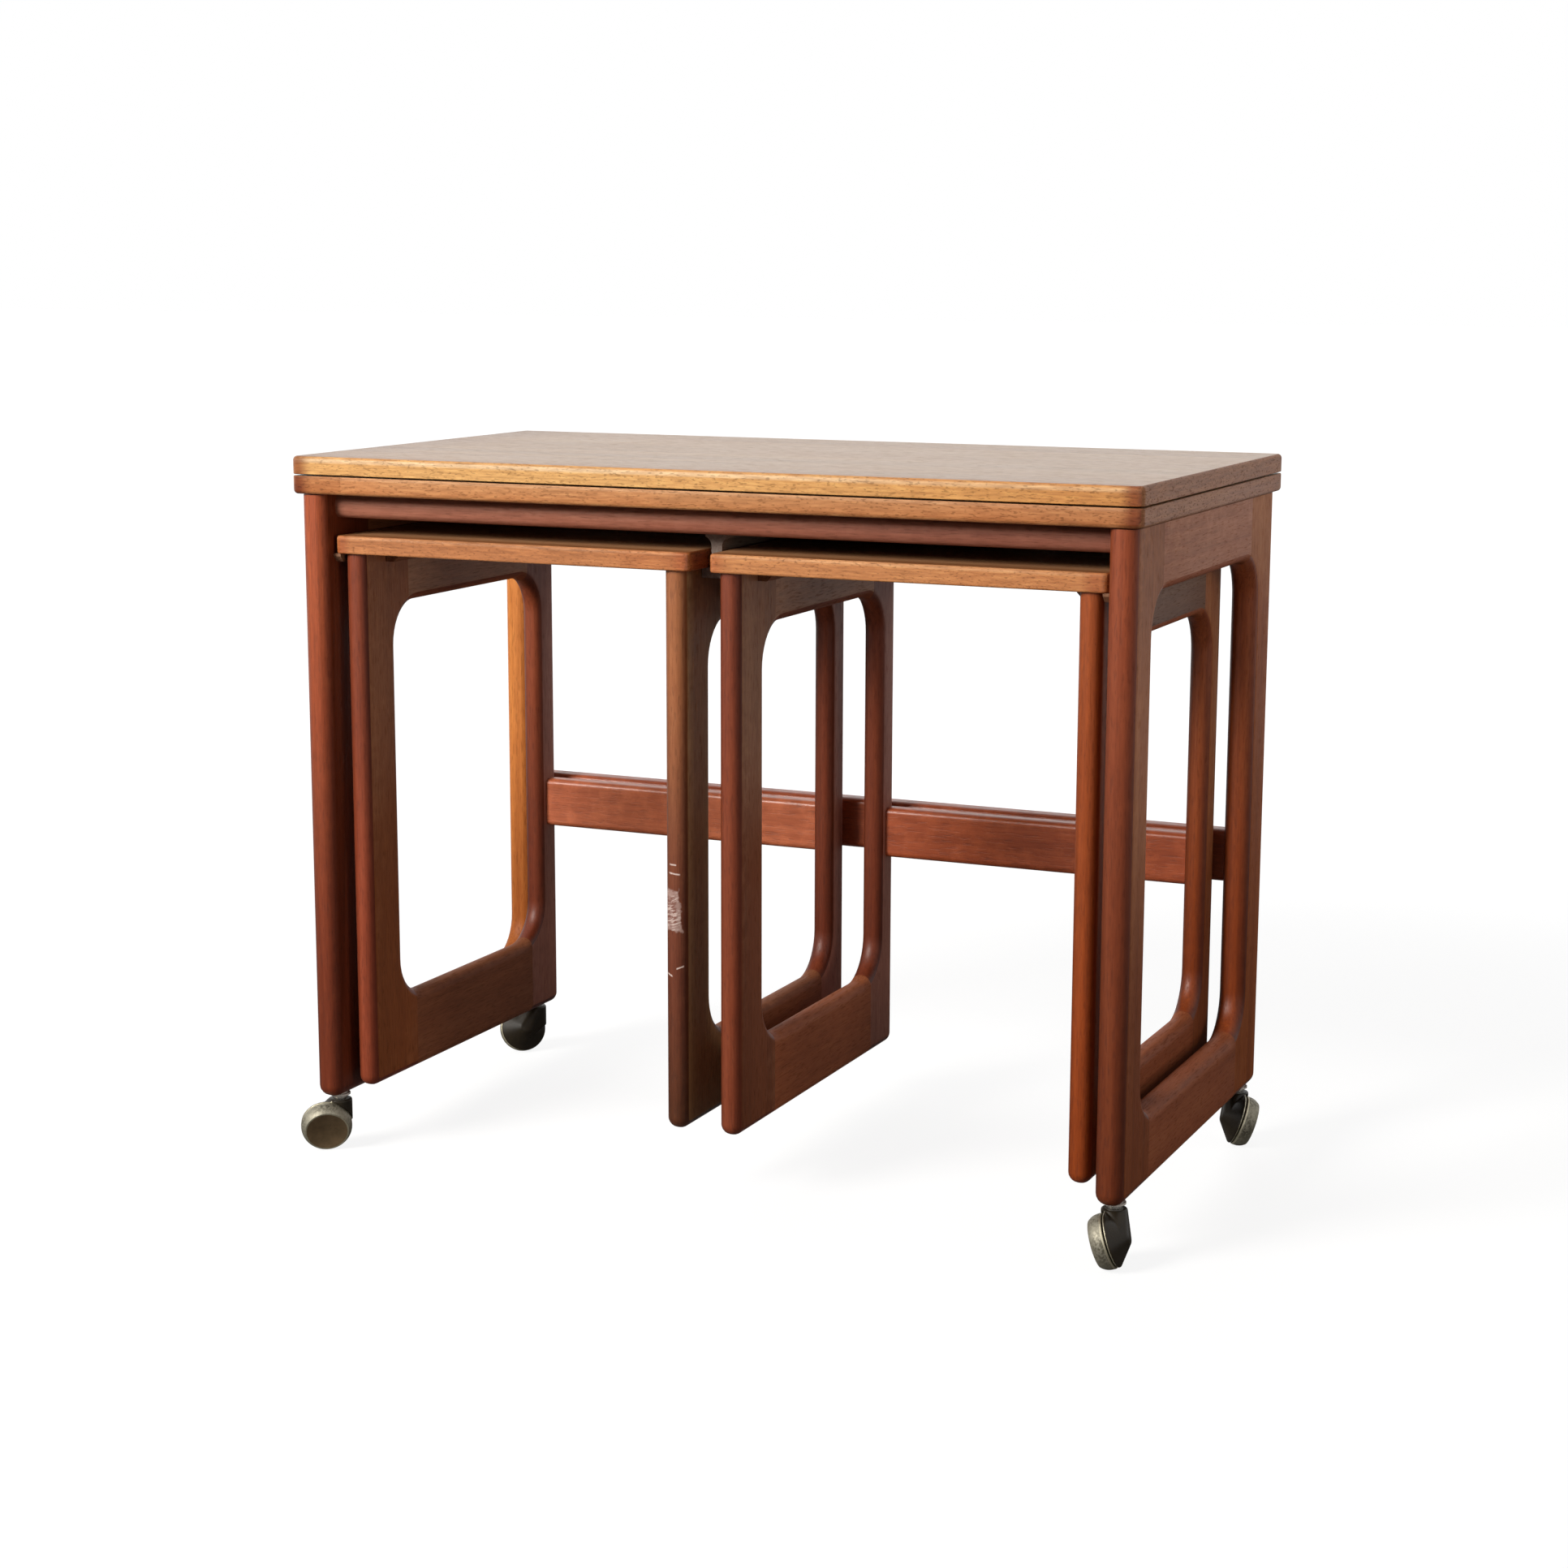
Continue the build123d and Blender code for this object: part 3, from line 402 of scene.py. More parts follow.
@dataclass(frozen=True)
class Teak:
    """Oiled teak of one tone, with its grain along one axis.

    The scales of its patterns are per metre, along the grain and then across it twice. Figure, wear,
    shade, dents, open_pores, fleck and blush say how strong each pattern is. Shade is painted shade
    on the roundings that turn to the side; many of the tints are painted shade, some painted highlight.
    """

    SWAY: ClassVar[Triple] = (1.4, 5.0, 5.0)
    SWAY_REACH: ClassVar[Triple] = (0.0, 0.020, 0.020)
    BANDS: ClassVar[Triple] = (0.9, 46.0, 46.0)
    STREAKS: ClassVar[Triple] = (3.0, 240.0, 240.0)
    FIBRES: ClassVar[Triple] = (34.0, 1500.0, 1500.0)
    FLECKS: ClassVar[Triple] = (60.0, 560.0, 560.0)
    PATCHES: ClassVar[Triple] = (6.0, 14.0, 14.0)
    SPECKS: ClassVar[Triple] = (150.0, 620.0, 620.0)
    DARK: ClassVar[Colour] = (0.63, 0.60, 0.58)
    LIGHT: ClassVar[Colour] = (1.36, 1.55, 1.62)
    PORE_DARK: ClassVar[Colour] = (0.30, 0.27, 0.25)
    DENT_DARK: ClassVar[Colour] = (0.16, 0.15, 0.15)
    FLUSHED: ClassVar[Colour] = (0.90, 0.76, 0.68)
    # Painted shade: the colour towards which the roundings that turn to the side are darkened.
    PAINTED_TURN_SHADE: ClassVar[Colour] = (0.34, 0.29, 0.27)

    name: str
    grain: Grain
    mid: Colour
    shift: Triple = (0.0, 0.0, 0.0)
    tints: tuple[Tint, ...] = ()
    figure: float = 1.0
    rough: float = 0.45
    specular: float = 0.12
    wear: float = 0.35
    # How strong the painted shade on the roundings that turn to the side is.
    shade: float = 0.0
    dents: float = 0.35
    pore: Triple = (95.0, 800.0, 800.0)
    open_pores: float = 0.8
    fleck: float = 0.6
    blush: float = 0.3
    scrapes: Optional[Scrapes] = None

    def tone(self, red: float, green: float, blue: float) -> Colour:
        """The middle tone with its channels multiplied."""
        return (self.mid[0] * red, self.mid[1] * green, self.mid[2] * blue)

    def _growth(self, g: Graph, board: Socket) -> Growth:
        """Draws the patterns of the board.

        Args:
            g: the graph of the material.
            board: the board's coordinates, with the grain along the first.

        Returns:
            The patterns.
        """
        waves = {"Vector": g.vector("MULTIPLY", board, self.SWAY), "Scale": 1.0, "Detail": 2.0}
        sway = g.vector("SUBTRACT", g.node("ShaderNodeTexNoise", {}, waves)["Color"], (0.5, 0.5, 0.5))
        wavy = g.vector("ADD", board, g.vector("MULTIPLY", sway, self.SWAY_REACH))
        return Growth(
            bands=g.drawn(wavy, self.BANDS, 3.0, 0.55),
            streaks=g.drawn(wavy, self.STREAKS, 4.0, 0.62),
            fibres=g.drawn(board, self.FIBRES, 2.0, 0.5),
            flecks=g.drawn(board, self.FLECKS, 3.0, 0.6),
            pores=g.drawn(board, self.pore, 1.0, 0.4).step(0.57, 0.69),
            patches=g.drawn(board, self.PATCHES, 2.0, 0.5),
        )

    def _grown(self, g: Graph, wood: Growth) -> Socket:
        """Colours the wood as it grew: figure, flushed patches and open pores, then the tints, of which many are
        painted shade and some painted highlight.

        Args:
            g: the graph of the material.
            wood: the patterns of the board.

        Returns:
            The colour.
        """
        tone = 0.5 + (wood.bands - 0.5) * (0.85 * self.figure) + (wood.streaks - 0.5) * (0.8 * self.figure)
        tone = tone + (wood.fibres - 0.5) * 0.35 + (wood.flecks - 0.5) * self.fleck
        tone = tone + (wood.patches - 0.5) * 0.25
        dark, light = self.tone(*self.DARK), self.tone(*self.LIGHT)
        colour = g.ramp(tone.clamped(), ((0.12, dark), (0.5, self.mid), (0.88, light)))
        colour = g.mix(wood.patches.step(0.42, 0.68) * self.blush, colour, self.FLUSHED, "MULTIPLY")
        open_share = wood.pores * (0.2 + 0.3 * wood.bands) * self.open_pores
        colour = g.mix(open_share, colour, self.tone(*self.PORE_DARK))
        for tint in self.tints:
            colour = tint.over(g, colour)
        return colour

    def _used(self, g: Graph, board: Socket, colour: Socket) -> tuple[Socket, Socket]:
        """Darkens a colour where the wood turns to the side, a painted shade, and ages it: pale on rubbed arrises,
        dark in dents.

        Args:
            g: the graph of the material.
            board: the board's coordinates.
            colour: the colour before.

        Returns:
            The aged colour, and how deep the dents are.
        """
        # Painted shade: darker where the rounded wood turns to the side.
        if self.shade:
            side = g.attribute("side")
            turned = side.step(0.08, 0.85) * (1.0 - side.step(0.95, 1.0))
            colour = g.mix(turned * self.shade, colour, self.PAINTED_TURN_SHADE, "MULTIPLY")
        arris = g.attribute("arris")
        rubbed = arris * g.noise(g.place(), 60.0, 5.0, 0.65).step(0.42, 0.70) * self.wear
        colour = g.mix(rubbed, colour, tuple(min(1.0, 1.3 * c) for c in self.tone(*self.LIGHT)))
        specks = g.drawn(board, self.SPECKS, 2.0, 0.6).step(0.69, 0.74)
        dents = specks * (0.3 + 0.7 * arris) * self.dents
        return g.mix(dents.clamped(), colour, self.tone(*self.DENT_DARK)), dents

    def make(self) -> bpy.types.Material:
        """Builds the material: grown wood, painted shade on its roundings, its wear and a soft oil sheen.

        Returns:
            The material.
        """
        g = Graph.material(self.name)
        board = g.place(self.grain.value, self.shift)
        wood = self._growth(g, board)
        colour, dents = self._used(g, board, self._grown(g, wood))
        smudge = g.noise(g.place(), 14.0, 4.0, 0.6)
        rough = self.rough + (smudge - 0.5) * 0.08 + (wood.streaks - 0.5) * 0.10 + wood.pores * 0.15
        height = wood.fibres * 0.3 + wood.flecks * 0.4 + wood.streaks * 0.35 - wood.pores * 0.9 - dents
        if self.scrapes:
            colour, bare = self.scrapes.over(g, colour)
            rough = rough + bare * 0.3
            height = height - bare * 0.6
        return g.surface(
            Base_Color=colour,
            Roughness=rough.clamped(),
            Normal=g.bump(height, 0.2, 0.4 * MM),
            IOR=1.5,
            Specular_IOR_Level=self.specular,
        )


@dataclass(frozen=True)
class Metal:
    """A metal with tarnish in blotches and fine specks, and with rubbed arrises."""

    name: str
    bright: Colour
    tarnish: Colour
    rough: float
    tarnish_share: float = 0.5
    metallic: float = 1.0
    speckle: float = 0.25
    grain_scale: float = 900.0
    specular: float = 0.5
    blend: float = 0.2

    def make(self) -> bpy.types.Material:
        """Builds the material: tarnish over bright metal.

        Returns:
            The material.
        """
        g = Graph.material(self.name)
        spot = g.place()
        blotch = g.noise(spot, 120.0, 5.0, 0.62)
        fine = g.noise(spot, self.grain_scale, 3.0, 0.6)
        low = 0.75 - 0.5 * self.tarnish_share
        mottle = blotch * (1.0 - self.speckle) + fine * self.speckle
        share = mottle.step(low - self.blend, low + self.blend)
        rubbed = g.attribute("arris") * 0.55 * fine.step(0.3, 0.6)
        wear_and_highlight = tuple(min(1.0, 1.3 * c) for c in self.bright)
        rough = self.rough + (blotch - 0.5) * 0.25 + (fine - 0.5) * 0.2
        return g.surface(
            Base_Color=g.mix(rubbed, g.mix(share, self.bright, self.tarnish), wear_and_highlight),
            Metallic=self.metallic,
            Roughness=rough.clamped(),
            Normal=g.bump(fine * 0.5 + blotch, 0.12, 0.3 * MM),
            Specular_IOR_Level=self.specular,
        )


@dataclass(frozen=True)
class Nylon:
    """Pale moulded nylon, slightly mottled."""

    name: str
    colour: Colour

    def make(self) -> bpy.types.Material:
        """Builds the material.

        Returns:
            The material.
        """
        g = Graph.material(self.name)
        mottle = g.noise(g.place(), 300.0, 3.0)
        shade = g.mix(mottle * 0.4, self.colour, tuple(0.75 * c for c in self.colour))
        return g.surface(
            Base_Color=shade,
            Roughness=0.45 + 0.2 * mottle,
            Normal=g.bump(mottle, 0.1, 0.2 * MM),
        )


class Finishes:
    """Every finish of the nest, made once and found by name."""

    RED = (0.238, 0.0520, 0.0188)
    OLIVE = (0.290, 0.104, 0.0415)
    ORANGE = (0.450, 0.205, 0.084)
    PLAIN = (0.190, 0.090, 0.050)

    def __init__(self) -> None:
        """Makes the materials."""
        woods = (self._stiles(), self._flanks(), self._rails(), self._boards(), self._lippings())
        self.made = {finish.name: finish.make() for group in (*woods, self._hardware()) for finish in group}

    def __getitem__(self, name: str) -> bpy.types.Material:
        """The named material."""
        return self.made[name]

    def _stiles(self) -> Iterable[Teak]:
        """Lists the stiles, as their noses show them.

        Returns:
            The finishes.
        """
        up = Grain.ALONG_Z
        # Painted shade: each foot tint darkens its stiles towards the floor.
        red_foot_shade = Tint("Z", 0.50, 0.14, (0.55, 0.50, 0.55))
        right_foot_shade = Tint("Z", 0.54, 0.10, (0.60, 0.57, 0.52))
        # Painted shade: each head tint darkens a small table's front stile under the main top.
        dim_head_shade = Tint("Z", 0.22, 0.42, (0.76, 0.82, 0.86))
        wine_head_shade = Tint("Z", 0.30, 0.54, (0.78, 0.74, 0.76))
        amber_foot_shade = Tint("Z", 0.54, 0.10, (0.84, 0.70, 0.54))
        noses = (
            ("red_stile", self.RED, (0.0, 0.0, 0.0), red_foot_shade),
            ("left_stile", (0.300, 0.0650, 0.0228), (0.2, 0.1, 0.6), red_foot_shade),
            ("worn_stile", self.RED, (0.9, 0.2, 0.4), right_foot_shade),
            ("dark_stile", (0.222, 0.0445, 0.0188), (0.3, 0.8, 0.4), dim_head_shade),
            ("wine_stile", (0.188, 0.0412, 0.0168), (0.6, 0.1, 0.9), wine_head_shade),
            ("orange_stile", (0.335, 0.0740, 0.0180), (0.5, 0.6, 0.4), amber_foot_shade),
        )
        # shade is the strength of the painted shade on the noses' sides, raised for the back stiles.
        round_nose = {"rough": 0.38, "specular": 0.22, "wear": 0.06, "shade": 0.62}
        for name, mid, shift, tint in noses:
            yield Teak(name, up, mid, shift, (tint,), **round_nose)
        # Painted shade towards the floor.
        back_foot_shade = Tint("Z", 0.48, 0.18, (0.60, 0.46, 0.30))
        turned = {**round_nose, "shade": 0.8}
        yield Teak("back_stile", up, (0.315, 0.0770, 0.0250), (0.4, 0.6, 0.2), (back_foot_shade,), **turned)
        # A redder lower half, and darker towards the foot: the darkening is painted shade.
        ends = (Tint("Z", 0.46, 0.22, (0.50, 0.38, 0.48)), Tint("Z", 0.22, 0.02, (0.62, 0.75, 0.65)))
        nicks = ((0.2795, -0.0252, 0.0034, -0.06), (0.2722, -0.0240, 0.0054, -0.10))
        nicks += ((0.1950, -0.0196, 0.0032, 0.40), (0.1885, -0.0285, 0.0030, -0.35))
        scrapes = Scrapes((0.2245, 0.2590), -0.0285, nicks, -0.176)
        yield Teak("scraped_stile", up, self.OLIVE, (0.7, 0.3, 0.1), ends, scrapes=scrapes, **round_nose)
        # The first tint darkens towards the foot, a painted shade; the second reddens the back of the stile.
        honey = (Tint("Z", 0.36, 0.14, (0.62, 0.52, 0.45)), Tint("Y", 0.150, 0.185, (0.52, 0.34, 0.42)))
        yield Teak("honey_stile", up, (0.505, 0.1700, 0.0420), (0.1, 0.4, 0.8), honey, wear=0.1)

    def _flanks(self) -> Iterable[Teak]:
        """Lists the broad faces of the stiles, which are flat-sawn and duller, with painted shade under the top
        and towards the foot.

        Returns:
            The finishes.
        """
        # Painted shade: dim and dark darken the flanks' heads under the top, and each low colour darkens a flank
        # towards the foot over its span in Z. The grey and russet tones are greyed in part as painted sheen.
        dim, dark, plain = (0.82, 0.76, 0.74), (0.70, 0.68, 0.70), (1.0, 1.0, 1.0)
        # Columns: name, mid tone, low colour, span in Z, specular, head colour, figure.
        tones = (
            ("olive_flank", (0.325, 0.127, 0.0600), (0.60, 0.43, 0.25), (0.42, 0.20), 0.13, dim, 0.5),
            ("grey_flank", (0.270, 0.160, 0.0800), (0.70, 0.62, 0.55), (0.46, 0.04), 0.13, dim, 0.5),
            ("russet_flank", (0.312, 0.148, 0.0820), (0.50, 0.31, 0.21), (0.42, 0.27), 0.14, dim, 0.8),
            ("dusk_flank", (0.252, 0.108, 0.0830), (0.90, 0.80, 0.70), (0.30, 0.06), 0.13, dim, 0.6),
            ("brown_flank", (0.265, 0.096, 0.0400), (0.60, 0.45, 0.36), (0.36, 0.20), 0.10, dark, 1.0),
            ("plain_flank", (0.262, 0.092, 0.0390), (0.86, 0.80, 0.76), (0.40, 0.06), 0.12, plain, 1.0),
            ("rear_flank", (0.300, 0.120, 0.0580), (0.70, 0.46, 0.26), (0.54, 0.45), 0.05, plain, 1.0),
        )
        for place, (name, mid, low, span, specular, head_shade, figure) in enumerate(tones):
            shift = (0.2 + 0.17 * place, 0.9 - 0.23 * place, 0.7 - 0.11 * place)
            tints = (Tint("Z", *span, low), Tint("Z", 0.42, 0.54, head_shade))
            yield Teak(name, Grain.ALONG_Z, mid, shift, tints, figure, 0.52, specular)

    def _rails(self) -> Iterable[Teak]:
        """Lists the rails, stretchers and aprons.

        Returns:
            The finishes.
        """
        # Painted shade: the main right top rail darkens towards its front end, where its sheen is weaker.
        front = (Tint("Y", -0.03, -0.14, (0.86, 0.80, 0.74)),)
        # Painted shade: the aprons darken towards their right end, away from the key lamp.
        shade = (Tint("X", -0.15, 0.25, (0.85, 0.80, 0.82)),)
        dull, oiled = {"rough": 0.54, "specular": 0.09}, {"rough": 0.30, "specular": 0.38, "figure": 0.8}
        olive = {"figure": 0.6, "rough": 0.50, "specular": 0.14}
        deep, wide = Grain.ALONG_Y, Grain.ALONG_X
        rails = (
            ("red_rail", deep, (0.212, 0.0600, 0.0245), (0.3, 0.5, 0.0), dull),
            ("plain_rail", deep, (0.252, 0.0880, 0.0370), (0.2, 0.4, 0.8), {"rough": 0.5}),
            ("pale_rail", deep, (0.316, 0.1390, 0.0880), (0.9, 0.1, 0.3), {"tints": front, **dull}),
            ("olive_rail", deep, (0.395, 0.2000, 0.1180), (0.1, 0.7, 0.9), olive),
            # The dark grey rail tone below is painted shade, for a rail behind the main right frame.
            ("grey_rail", deep, (0.122, 0.0640, 0.0440), (0.5, 0.3, 0.7), dull),
            ("deep_rail", deep, (0.187, 0.0650, 0.0295), (0.8, 0.5, 0.6), {"figure": 0.5, **dull}),
            ("russet_rail", deep, (0.242, 0.0730, 0.0305), (0.4, 0.9, 0.2), {"figure": 0.7, **dull}),
            ("bar_teak", wide, (0.295, 0.0630, 0.0230), (0.1, 0.7, 0.3), oiled),
            ("pale_bar", wide, (0.360, 0.0930, 0.0390), (0.7, 0.2, 0.8), oiled),
        )
        for name, grain, mid, shift, way in rails:
            yield Teak(name, grain, mid, shift, **way)
        yield Teak("apron_teak", wide, (0.312, 0.1140, 0.0700), (0.6, 0.1, 0.2), shade, wear=0.1, rough=0.5)

    def _boards(self) -> Iterable[Teak]:
        """Lists the veneers and the hidden boards.

        Returns:
            The finishes.
        """
        across, deep = Grain.ALONG_X, Grain.ALONG_Y
        # Painted shade: the veneer darkens towards its left and front edges, where its sheen is weaker.
        edge_shades = (Tint("X", -0.28, -0.37, (0.78, 0.70, 0.63)), Tint("Y", -0.165, -0.194, (0.78, 0.64, 0.52)))
        # Painted shadow: the small tops' veneer darkens along its front, under the apron.
        small_front_shadow = (Tint("Y", -0.156, -0.178, (0.78, 0.62, 0.48)),)
        face, hidden = {"wear": 0.0, "dents": 0.1}, {"wear": 0.1, "rough": 0.6}
        tone, small_tone = (0.326, 0.201, 0.115), (0.370, 0.180, 0.085)
        yield Teak("veneer", across, tone, (0.0, 0.0, 0.0), edge_shades, 1.05, 0.30, 0.6, **face)
        yield Teak("small_veneer", across, small_tone, (0.3, 0.6, 0.2), small_front_shadow, 1.0, 0.38, 0.35, **face)
        yield Teak("plain_wood", deep, self.PLAIN, **hidden)
        yield Teak("plain_board", across, self.PLAIN, **hidden)
        yield Teak("block_wood", deep, (0.200, 0.075, 0.035), (0.2, 0.2, 0.2), **hidden)
        yield Teak("grey_wood", deep, (0.170, 0.130, 0.110), specular=0.18, **hidden)

    def _lippings(self) -> Iterable[Teak]:
        """Lists the solid lippings of the tops, with a painted highlight along their upper arris.

        Returns:
            The finishes.
        """
        across, deep = Grain.ALONG_X, Grain.ALONG_Y
        corner = Tint("X", 0.3440, 0.3580, (0.44, 0.27, 0.21), True)
        gold = (
            # Painted highlight along the upper arris.
            Tint("Z", 0.5905, 0.5930, (1.13, 1.42, 2.30)),
            # Painted shade on the crown of the arris.
            Tint("Z", 0.5940, 0.5958, (0.72, 0.52, 0.30)),
            # Painted shade towards the right end.
            Tint("X", -0.05, 0.36, (0.95, 0.80, 0.68)),
            corner,
        )
        orange = (
            Tint("X", -0.3165, -0.3175, (0.82, 0.74, 0.68)),
            # Painted highlight along the upper arris.
            Tint("Z", 0.5768, 0.5792, (1.10, 1.26, 1.55)),
            # Painted shade towards the lower edge.
            Tint("Z", 0.5770, 0.5680, (0.88, 0.78, 0.70)),
            # Painted shade towards the right end.
            Tint("X", -0.05, 0.36, (0.96, 0.87, 0.83)),
            corner,
        )
        # The Z tint below is a painted highlight along the small tops' upper arris; the X tints darken their ends.
        wear_and_highlight, red_end = Tint("Z", 0.5268, 0.5288, (1.10, 1.28, 1.60)), (0.80, 0.62, 0.56)
        left = (wear_and_highlight, Tint("X", -0.318, -0.327, red_end), Tint("X", -0.028, -0.012, red_end))
        right = (wear_and_highlight, Tint("X", 0.028, 0.012, red_end), Tint("X", 0.310, 0.325, red_end))
        edge = {"pore": (280.0, 900.0, 900.0), "open_pores": 1.5, "fleck": 1.1, "blush": 0.6}
        fronts = (
            ("gold_lipping", (0.562, 0.303, 0.108), (0.0, 0.0, 0.0), gold, 0.6, 0.27, 0.4, 0.2, 0.9),
            ("orange_lipping", self.ORANGE, (0.4, 0.0, 0.1), orange, 0.75, 0.30, 0.3, 0.35, 0.7),
            ("left_lipping", (0.415, 0.159, 0.058), (0.8, 0.3, 0.1), left, 1.0, 0.27, 0.4, 0.35, 0.7),
            ("right_lipping", (0.455, 0.184, 0.066), (0.3, 0.5, 0.6), right, 1.0, 0.27, 0.4, 0.35, 0.7),
        )
        for name, mid, shift, tints, figure, rough, specular, wear, dents in fronts:
            yield Teak(name, across, mid, shift, tints, figure, rough, specular, wear, dents=dents, **edge)
        ends = (
            ("gold_end", (0.250, 0.107, 0.051), (0.5, 0.2, 0.1), 0.2, 0.6),
            ("orange_end", (0.240, 0.103, 0.051), (0.4, 0.0, 0.1), 0.2, 0.5),
            ("top_end", (0.330, 0.110, 0.038), (0.2, 0.3, 0.6), 0.35, 0.5),
        )
        for name, mid, shift, wear, dents in ends:
            yield Teak(name, deep, mid, shift, wear=wear, dents=dents, **edge)

    @staticmethod
    def _hardware() -> Iterable[Union[Metal, Nylon]]:
        """Lists the metals and the glide pads' nylon.

        Returns:
            The finishes.
        """
        rim, rim_dull = (0.285, 0.264, 0.205), (0.092, 0.082, 0.056)
        hood, hood_dull = (0.025, 0.0185, 0.0112), (0.014, 0.0105, 0.0064)
        yield Metal("wheel_brass", rim, rim_dull, 0.56, 0.48, 0.6, 0.85, 480.0, blend=0.10)
        yield Metal("dish_brass", (0.248, 0.166, 0.090), (0.142, 0.095, 0.049), 0.48, 0.5, 0.8)
        # Painted glint: a bright brass ring on the wheel's lip and back edge and round the hood's edge.
        yield Metal("lip_brass", (0.52, 0.475, 0.35), (0.30, 0.27, 0.19), 0.40, 0.4, 0.8)
        yield Metal("hood_bronze", hood, hood_dull, 0.32, 0.5, 0.0, specular=0.20)
        yield Metal("dark_screw", (0.060, 0.048, 0.036), (0.030, 0.024, 0.018), 0.45, 0.5, 0.6)
        yield Metal("socket_plate", (0.74, 0.70, 0.67), (0.52, 0.48, 0.45), 0.36, 0.35, 0.25)
        yield Metal("bright_steel", (0.66, 0.63, 0.58), (0.42, 0.39, 0.34), 0.25, 0.3)
        yield Metal("screw_steel", (0.52, 0.51, 0.48), (0.28, 0.26, 0.23), 0.35, 0.45)
        yield Metal("hinge_brass", (0.60, 0.45, 0.20), (0.30, 0.20, 0.085), 0.34, 0.45)
        yield Nylon("pad_nylon", (0.62, 0.60, 0.53))


# Modelling steps


class Bench:
    """The workbench: common modelling steps on the active object."""

    @staticmethod
    def clear() -> None:
        """Leaves edit mode and selects nothing."""
        if bpy.context.object and bpy.context.object.mode != "OBJECT":
            bpy.ops.object.mode_set(mode="OBJECT")
        bpy.ops.object.select_all(action="DESELECT")

    @staticmethod
    def take(piece: bpy.types.Object) -> None:
        """Makes a piece the only selected one and the active one.

        Args:
            piece: the piece to take.
        """
        Bench.clear()
        piece.select_set(True)
        bpy.context.view_layer.objects.active = piece

    @staticmethod
    def apply_place(piece: bpy.types.Object) -> None:
        """Moves the piece's place, turn and scale into its mesh."""
        Bench.take(piece)
        bpy.ops.object.transform_apply(location=True, rotation=True, scale=True)

    @staticmethod
    def cube(size: Sequence[float], middle: Sequence[float]) -> bpy.types.Object:
        """Adds a box to be shaped or cut with.

        Args:
            size: its size along each axis.
            middle: where its middle is.

        Returns:
            The box, with its place in its mesh.
        """
        Bench.clear()
        bpy.ops.mesh.primitive_cube_add(size=1.0)
        piece = bpy.context.object
        piece.scale = size
        piece.location = middle
        Bench.apply_place(piece)
        return piece

    @staticmethod
    def edit(piece: bpy.types.Object, mode: str = "VERT", everything: bool = False) -> None:
        """Enters edit mode.

        Args:
            piece: the piece to edit.
            mode: what is selected, VERT, EDGE or FACE.
            everything: selects all of it, and otherwise nothing.
        """
        Bench.take(piece)
        bpy.ops.object.mode_set(mode="EDIT")
        bpy.ops.mesh.select_mode(type=mode)
        bpy.ops.mesh.select_all(action="SELECT" if everything else "DESELECT")

    @staticmethod
    def pick(piece: bpy.types.Object, test: Callable[[Any], bool], what: str = "vertices") -> None:
        """Selects vertices, edges or polygons that pass a test.

        Args:
            piece: the piece, in edit mode.
            test: says whether an element is taken.
            what: vertices, edges or polygons.
        """
        bpy.ops.object.mode_set(mode="OBJECT")
        for element in getattr(piece.data, what):
            element.select = test(element)
        bpy.ops.object.mode_set(mode="EDIT")

    @staticmethod
    def use(piece: bpy.types.Object, kind: str, **settings: Any) -> None:
        """Adds a modifier and applies it.

        Args:
            piece: the piece that gets it.
            kind: the modifier's type.
            settings: its properties.
        """
        Bench.take(piece)
        modifier = piece.modifiers.new(kind.lower(), kind)
        for key, value in settings.items():
            setattr(modifier, key, value)
        bpy.ops.object.modifier_apply(modifier=modifier.name)

    @staticmethod
    def bevel(radius: float, steps: int, affect: str) -> None:
        """Rounds the selected VERTICES or EDGES."""
        bpy.ops.mesh.bevel(offset=radius, segments=steps, profile=0.5, affect=affect, clamp_overlap=False)

    @staticmethod
    def cut_out(piece: bpy.types.Object, tool: bpy.types.Object) -> None:
        """Cuts a tool's shape out of a piece and removes the tool."""
        Bench.use(piece, "BOOLEAN", object=tool, operation="DIFFERENCE", solver="EXACT")
        Bench.discard(tool)

    @staticmethod
    def join(piece: bpy.types.Object, other: bpy.types.Object) -> None:
        """Joins another piece's mesh to a piece's.

        Args:
            piece: the piece that stays.
            other: the piece that goes into it.
        """
        Bench.take(piece)
        other.select_set(True)
        bpy.ops.object.join()

    @staticmethod
    def copy(piece: bpy.types.Object, name: str, move: Triple = (0.0, 0.0, 0.0)) -> bpy.types.Object:
        """Copies a piece with its own mesh.

        Args:
            piece: the piece to copy.
            name: the copy's name.
            move: how far the copy's mesh is moved.

        Returns:
            The copy.
        """
        twin = piece.copy()
        twin.data = piece.data.copy()
        twin.name = twin.data.name = name
        bpy.context.scene.collection.objects.link(twin)
        Bench.shift(twin, *move)
        return twin

    @staticmethod
    def shift(piece: bpy.types.Object, x: float, y: float, z: float) -> None:
        """Moves a piece's mesh."""
        piece.data.transform(Matrix.Translation((x, y, z)))

    @staticmethod
    def discard(*pieces: bpy.types.Object) -> None:
        """Removes patterns and tools that are no longer needed."""
        for piece in pieces:
            bpy.data.objects.remove(piece, do_unlink=True)

